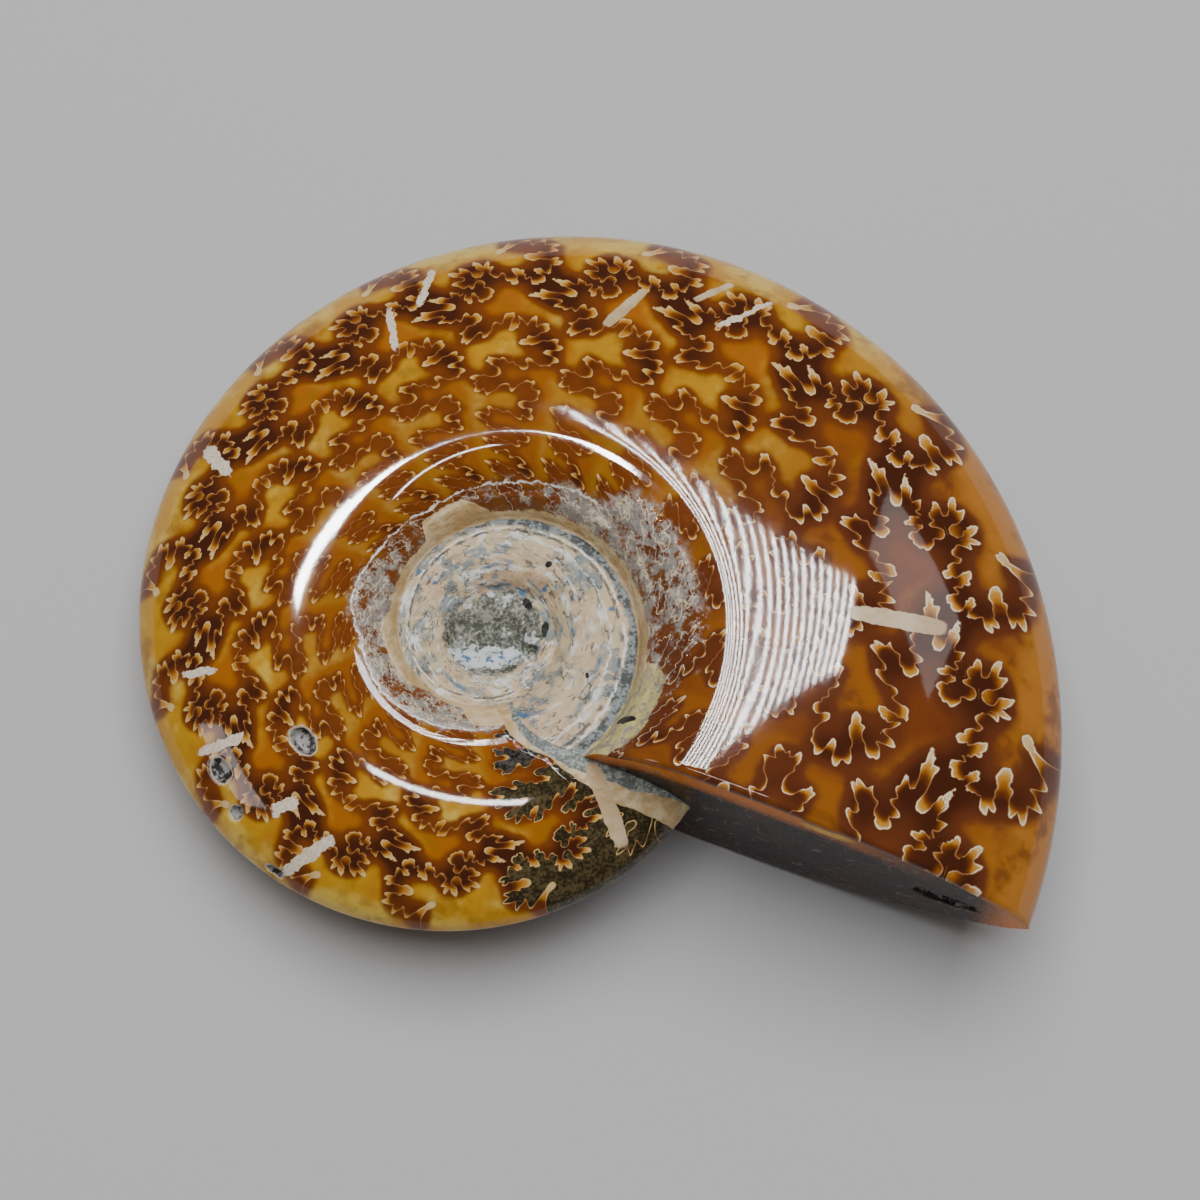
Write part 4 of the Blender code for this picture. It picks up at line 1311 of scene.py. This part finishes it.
vein = rise(abs(small[2] - 0.5), 0.018, 0.006) * rise(broad[1], 0.45, 0.55)
core = tint(vein * 0.7, core, GROOVE)
rock = tint(rise(grain[2] + (small[1] - 0.5) * 0.9, 0.34, 0.72), ROCK, ROCK_LIGHT)
rock = tint(rise(small[2] + (broad[0] - 0.5) * 0.7, 0.60, 0.70), rock, CRYSTAL)
crystals = framed(object_place, laid_down(np.array(CRYSTALS_PLACE)), np.array(tilt).T, CRYSTALS_SIZES)
crystals = crystals[0] * crystals[0] + crystals[1] * crystals[1]
crystals = crystals + (small[0] - 0.5) * 6.0 + (grain[0] - 0.5) * 3.0
bright = tint(rise(small[1] + (grain[0] - 0.5) * 0.4, 0.56, 0.64), CRYSTAL, NACRE_BLUE)
rock = tint(rise(crystals, 1.1, 0.6), rock, bright)
rocky = rise(distance + (small[0] - 0.5) * 0.0022 + (broad[2] - 0.5) * 0.0030, *ROCK_RADIUS)
core = tint(rocky, core, rock)
body = tint(rise(core_here, 0.02, 0.4), body, core)

# Holes are painted shade, dark ellipses: millimetres right and up from the pole, width, height and
# turn in degrees.
HOLES = (
    (4.1, 4.0, 1.1, 1.9, 35.0), (6.2, 0.6, 0.9, 2.4, -12.0), (11.6, -6.6, 0.5, 0.9, 10.0),
    (6.9, 7.9, 1.0, 0.8, 20.0), (16.3, -13.2, 2.6, 1.0, -10.0),
)
holes = []
for x_hole, y_hole, wide, high, slope in HOLES:
    centre = laid_down(np.array((x_hole, y_hole, 0.0)) * 0.001)
    axes = np.array(Matrix.Rotation(-math.radians(slope), 3, "Z")) @ np.array(tilt).T
    parts = framed(rough_place, centre, axes, (wide * 0.0005, high * 0.0005, 1.0))
    holes.append(parts[0] * parts[0] + parts[1] * parts[1])
upper_side = framed(object_place, pole, np.array(tilt).T, (1.0, 1.0, 1.0))[2].math("GREATER_THAN", 0.0)
# The holes' shade is painted in as dark ellipses on the upper side.
hole_shade = rise(least(holes) + (grain[1] - 0.5) * 0.7, 1.15, 0.75) * upper_side
body = tint(hole_shade, body, HOLE_SHADE)

# The polish is mirror-smooth. Crust, chalk, pits and rock are rough, and nacre and healed cracks lie
# between. The umbilicus and the corner have a fine relief, given as shares of a millimetre.
POLISH_ROUGHNESS = 0.045
BUMP_CLOUDS = (1100.0, 3.0)
BUMP_HEIGHT = 0.001
BUMP_STRENGTH = 0.6
WALL_RELIEF = 0.6
CORE_RELIEF = 0.3
POLISH_RELIEF = 0.004
tree.links.new(body, shader.inputs["Base Color"])
coarse = chalky.math("MAXIMUM", crusty).math("MAXIMUM", wedged).math("MAXIMUM", stripped)
coarse = coarse.math("MAXIMUM", healed_grainy).math("MAXIMUM", in_pit).math("MAXIMUM", rocky * core_here)
half_coarse = healed.math("MAXIMUM", rise(core_here, 0.02, 0.4)).math("MAXIMUM", chips_and_highlight)
roughness = POLISH_ROUGHNESS + coarse * 0.42 + half_coarse * 0.16 + (small[0] - 0.5) * 0.04
feed(shader.inputs["Roughness"], roughness)
bump = tree.nodes.new("ShaderNodeBump")
bump.inputs["Distance"].default_value = BUMP_HEIGHT
roughening = tree.nodes.new("ShaderNodeTexNoise")
tree.links.new(object_place, roughening.inputs["Vector"])
roughening.inputs["Scale"].default_value = BUMP_CLOUDS[0]
roughening.inputs["Detail"].default_value = BUMP_CLOUDS[1]
rough_part = rise(shoulder_here, -0.01, 0.06) * WALL_RELIEF - core_here * (WALL_RELIEF - CORE_RELIEF)
corner_part = rise(wedge_here, 1.0, -0.5) * WALL_RELIEF
rough_part = rough_part.math("MAXIMUM", corner_part) + POLISH_RELIEF
feed(bump.inputs["Height"], rough_part * Reading(roughening.outputs["Fac"]))
bump.inputs["Strength"].default_value = BUMP_STRENGTH
tree.links.new(bump.outputs[0], shader.inputs["Normal"])
mesh.materials.append(stone)

# The aperture face is a flat cut through the filling: dark glossy calcite, with a painted amber
# glow under the upper rim where light comes through, a golden eye, pale veins and grey crystals in
# the hollow.
FACE_DARK = paint(34, 20, 14)
FACE_BROWN = paint(66, 36, 20)
FACE_GLOW_AMBER = paint(236, 134, 34)
FACE_EYE = paint(254, 196, 76)
FACE_VEIN = paint(150, 138, 124)
EYE_PLACE = (0.0395, -0.0268, 0.0112)
EYE_SIZES = (0.0036, 0.0013, 1.0)
FACE_INDEX_OF_REFRACTION = 1.33
FACE_SPECULAR = 0.2
face = bpy.data.materials.new("aperture_calcite")
face.use_nodes = True
tree = face.node_tree
shader = tree.nodes["Principled BSDF"]
object_place = tree.nodes.new("ShaderNodeTexCoord").outputs["Object"]
broad = cloud(tree, object_place, *BROAD_CLOUDS)
small = cloud(tree, object_place, *SMALL_CLOUDS)
grain = cloud(tree, object_place, *GRAINS)
_, (under_rim, face_share, _) = parts_of(tree, "face")
body = tint(rise(broad[0] + (small[0] - 0.5) * 0.3, 0.45, 0.70), FACE_DARK, FACE_BROWN)
# A painted amber glow under the upper rim, standing in for light that comes through the calcite.
glow_under_rim = rise(under_rim + (broad[1] - 0.5) * 2.0, 5.5, 1.5) * rise(face_share, 0.88, 0.55)
glow_under_rim = glow_under_rim.math("MAXIMUM", rise(face_share, 0.90, 0.98))
body = tint(glow_under_rim, body, FACE_GLOW_AMBER)
centre, axes, sizes = openings[-1]
eye = framed(object_place, laid_down(np.array(EYE_PLACE)), axes, EYE_SIZES)
eye = eye[0] * eye[0] + eye[1] * eye[1]
body = tint(rise(eye, 1.3, 0.1), body, FACE_EYE)
vein = rise(abs(broad[2] - 0.5), 0.012, 0.003) * rise(small[1], 0.45, 0.60)
body = tint(vein * 0.8, body, FACE_VEIN)
cavity = framed(object_place, centre, axes, (sizes[0] / 2.0, sizes[1] / 2.0, 1.0))
cavity = cavity[0] * cavity[0] + cavity[1] * cavity[1]
crystals = tint(rise(small[2] + (grain[0] - 0.5) * 0.5, 0.40, 0.60), PIT_DARK, PIT_GREY)
body = tint(rise(cavity + (small[0] - 0.5) * 0.5, 1.05, 0.85), body, crystals)
tree.links.new(body, shader.inputs["Base Color"])
feed(shader.inputs["Roughness"], 0.22 + rise(cavity, 1.1, 0.8) * 0.4 + small[1] * 0.10)
shader.inputs["IOR"].default_value = FACE_INDEX_OF_REFRACTION
shader.inputs["Specular IOR Level"].default_value = FACE_SPECULAR
mesh.materials.append(face)
mesh.polygons.foreach_set("material_index", on_face.astype(np.int32))

ammonite = bpy.data.objects.new("polished_ammonite", mesh)
bpy.context.scene.collection.objects.link(ammonite)
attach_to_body(ammonite, "root")
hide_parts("ammonite")

# The fossil lies on a plain pale floor: one matt sheet, wide enough to reach past the picture.
FLOOR_REACH = 2.0
FLOOR_PAINT = (0.60, 0.60, 0.61, 1.0)
FLOOR_ROUGHNESS = 0.9
corners = [(FLOOR_REACH * x, FLOOR_REACH * y, 0.0) for x, y in ((-1, -1), (1, -1), (1, 1), (-1, 1))]
floor_mesh = bpy.data.meshes.new("floor")
floor_mesh.from_pydata(corners, [], [(0, 1, 2, 3)])
pale = bpy.data.materials.new("pale_floor")
pale.use_nodes = True
paint_of_floor = pale.node_tree.nodes["Principled BSDF"]
paint_of_floor.inputs["Base Color"].default_value = FLOOR_PAINT
paint_of_floor.inputs["Roughness"].default_value = FLOOR_ROUGHNESS
floor_mesh.materials.append(pale)
floor = bpy.data.objects.new("floor", floor_mesh)
bpy.context.scene.collection.objects.link(floor)

# The studio has a louvred panel above and behind, which shows as stripes in the polish, narrow lamps
# for the far and the near crest, and weak softboxes at the sides. These only shine in the polish,
# and one wide fill lamp, which the polish doesn't show, lights the stone and the floor.
LAMPS = (
    ("overhead", (-0.10, 0.03, 0.92), (0.028, 0.27), 50.0),
    ("crest_lamp", (-0.30, 0.30, 0.90), (0.10, 0.035), 190.0),
    ("right_softbox", (0.60, 0.54, 0.80), (0.34, 0.27), 2.4),
    ("right_softbox_middle", (0.60, 0.54, 0.80), (0.25, 0.19), 2.8),
    ("right_softbox_heart", (0.60, 0.54, 0.80), (0.15, 0.11), 3.4),
    ("left_softbox", (-1.10, -0.25, 0.75), (0.40, 0.30), 4.0),
)
FILL_PLACE = (0.05, 0.35, 1.2)
FILL_SIZE = (1.1, 1.1)
FILL_RADIANCE = 4.6
SLATS = 19
SLAT_PITCH = 0.0255
SLAT_SIZE = (0.0085, 0.14)
SLAT_RADIANCE = 75.0
PANEL_PLACE = (0.05, 0.45, 0.90)


def lamp_at(name, place, size, radiance):
    """A flat lamp that faces the stone and shows only in polish; its power is pi, radiance and area."""
    light = bpy.data.lights.new(name, "AREA")
    light.shape = "RECTANGLE"
    light.size, light.size_y = size
    light.energy = math.pi * radiance * size[0] * size[1]
    lamp = bpy.data.objects.new(name, light)
    lamp.location = place
    lamp.rotation_euler = Vector(place).to_track_quat("Z", "Y").to_euler()
    lamp.visible_diffuse = False
    bpy.context.scene.collection.objects.link(lamp)
    return lamp


fill = lamp_at("fill", FILL_PLACE, FILL_SIZE, FILL_RADIANCE)
fill.visible_diffuse = True
fill.visible_glossy = False
for name, place, size, radiance in LAMPS:
    lamp_at(name, place, size, radiance)
for slat in range(SLATS):
    shift = (slat - (SLATS - 1) / 2.0) * SLAT_PITCH
    place = (PANEL_PLACE[0] + shift, PANEL_PLACE[1], PANEL_PLACE[2])
    lamp_at(f"slat_{slat + 1}", place, SLAT_SIZE, SLAT_RADIANCE)

# The room around gives a little even grey light.
ROOM_GREY = (0.8, 0.8, 0.8, 1.0)
ROOM_STRENGTH = 0.14
world = bpy.data.worlds.new("studio")
world.use_nodes = True
room = world.node_tree.nodes["Background"]
room.inputs["Color"].default_value = ROOM_GREY
room.inputs["Strength"].default_value = ROOM_STRENGTH
bpy.context.scene.world = world
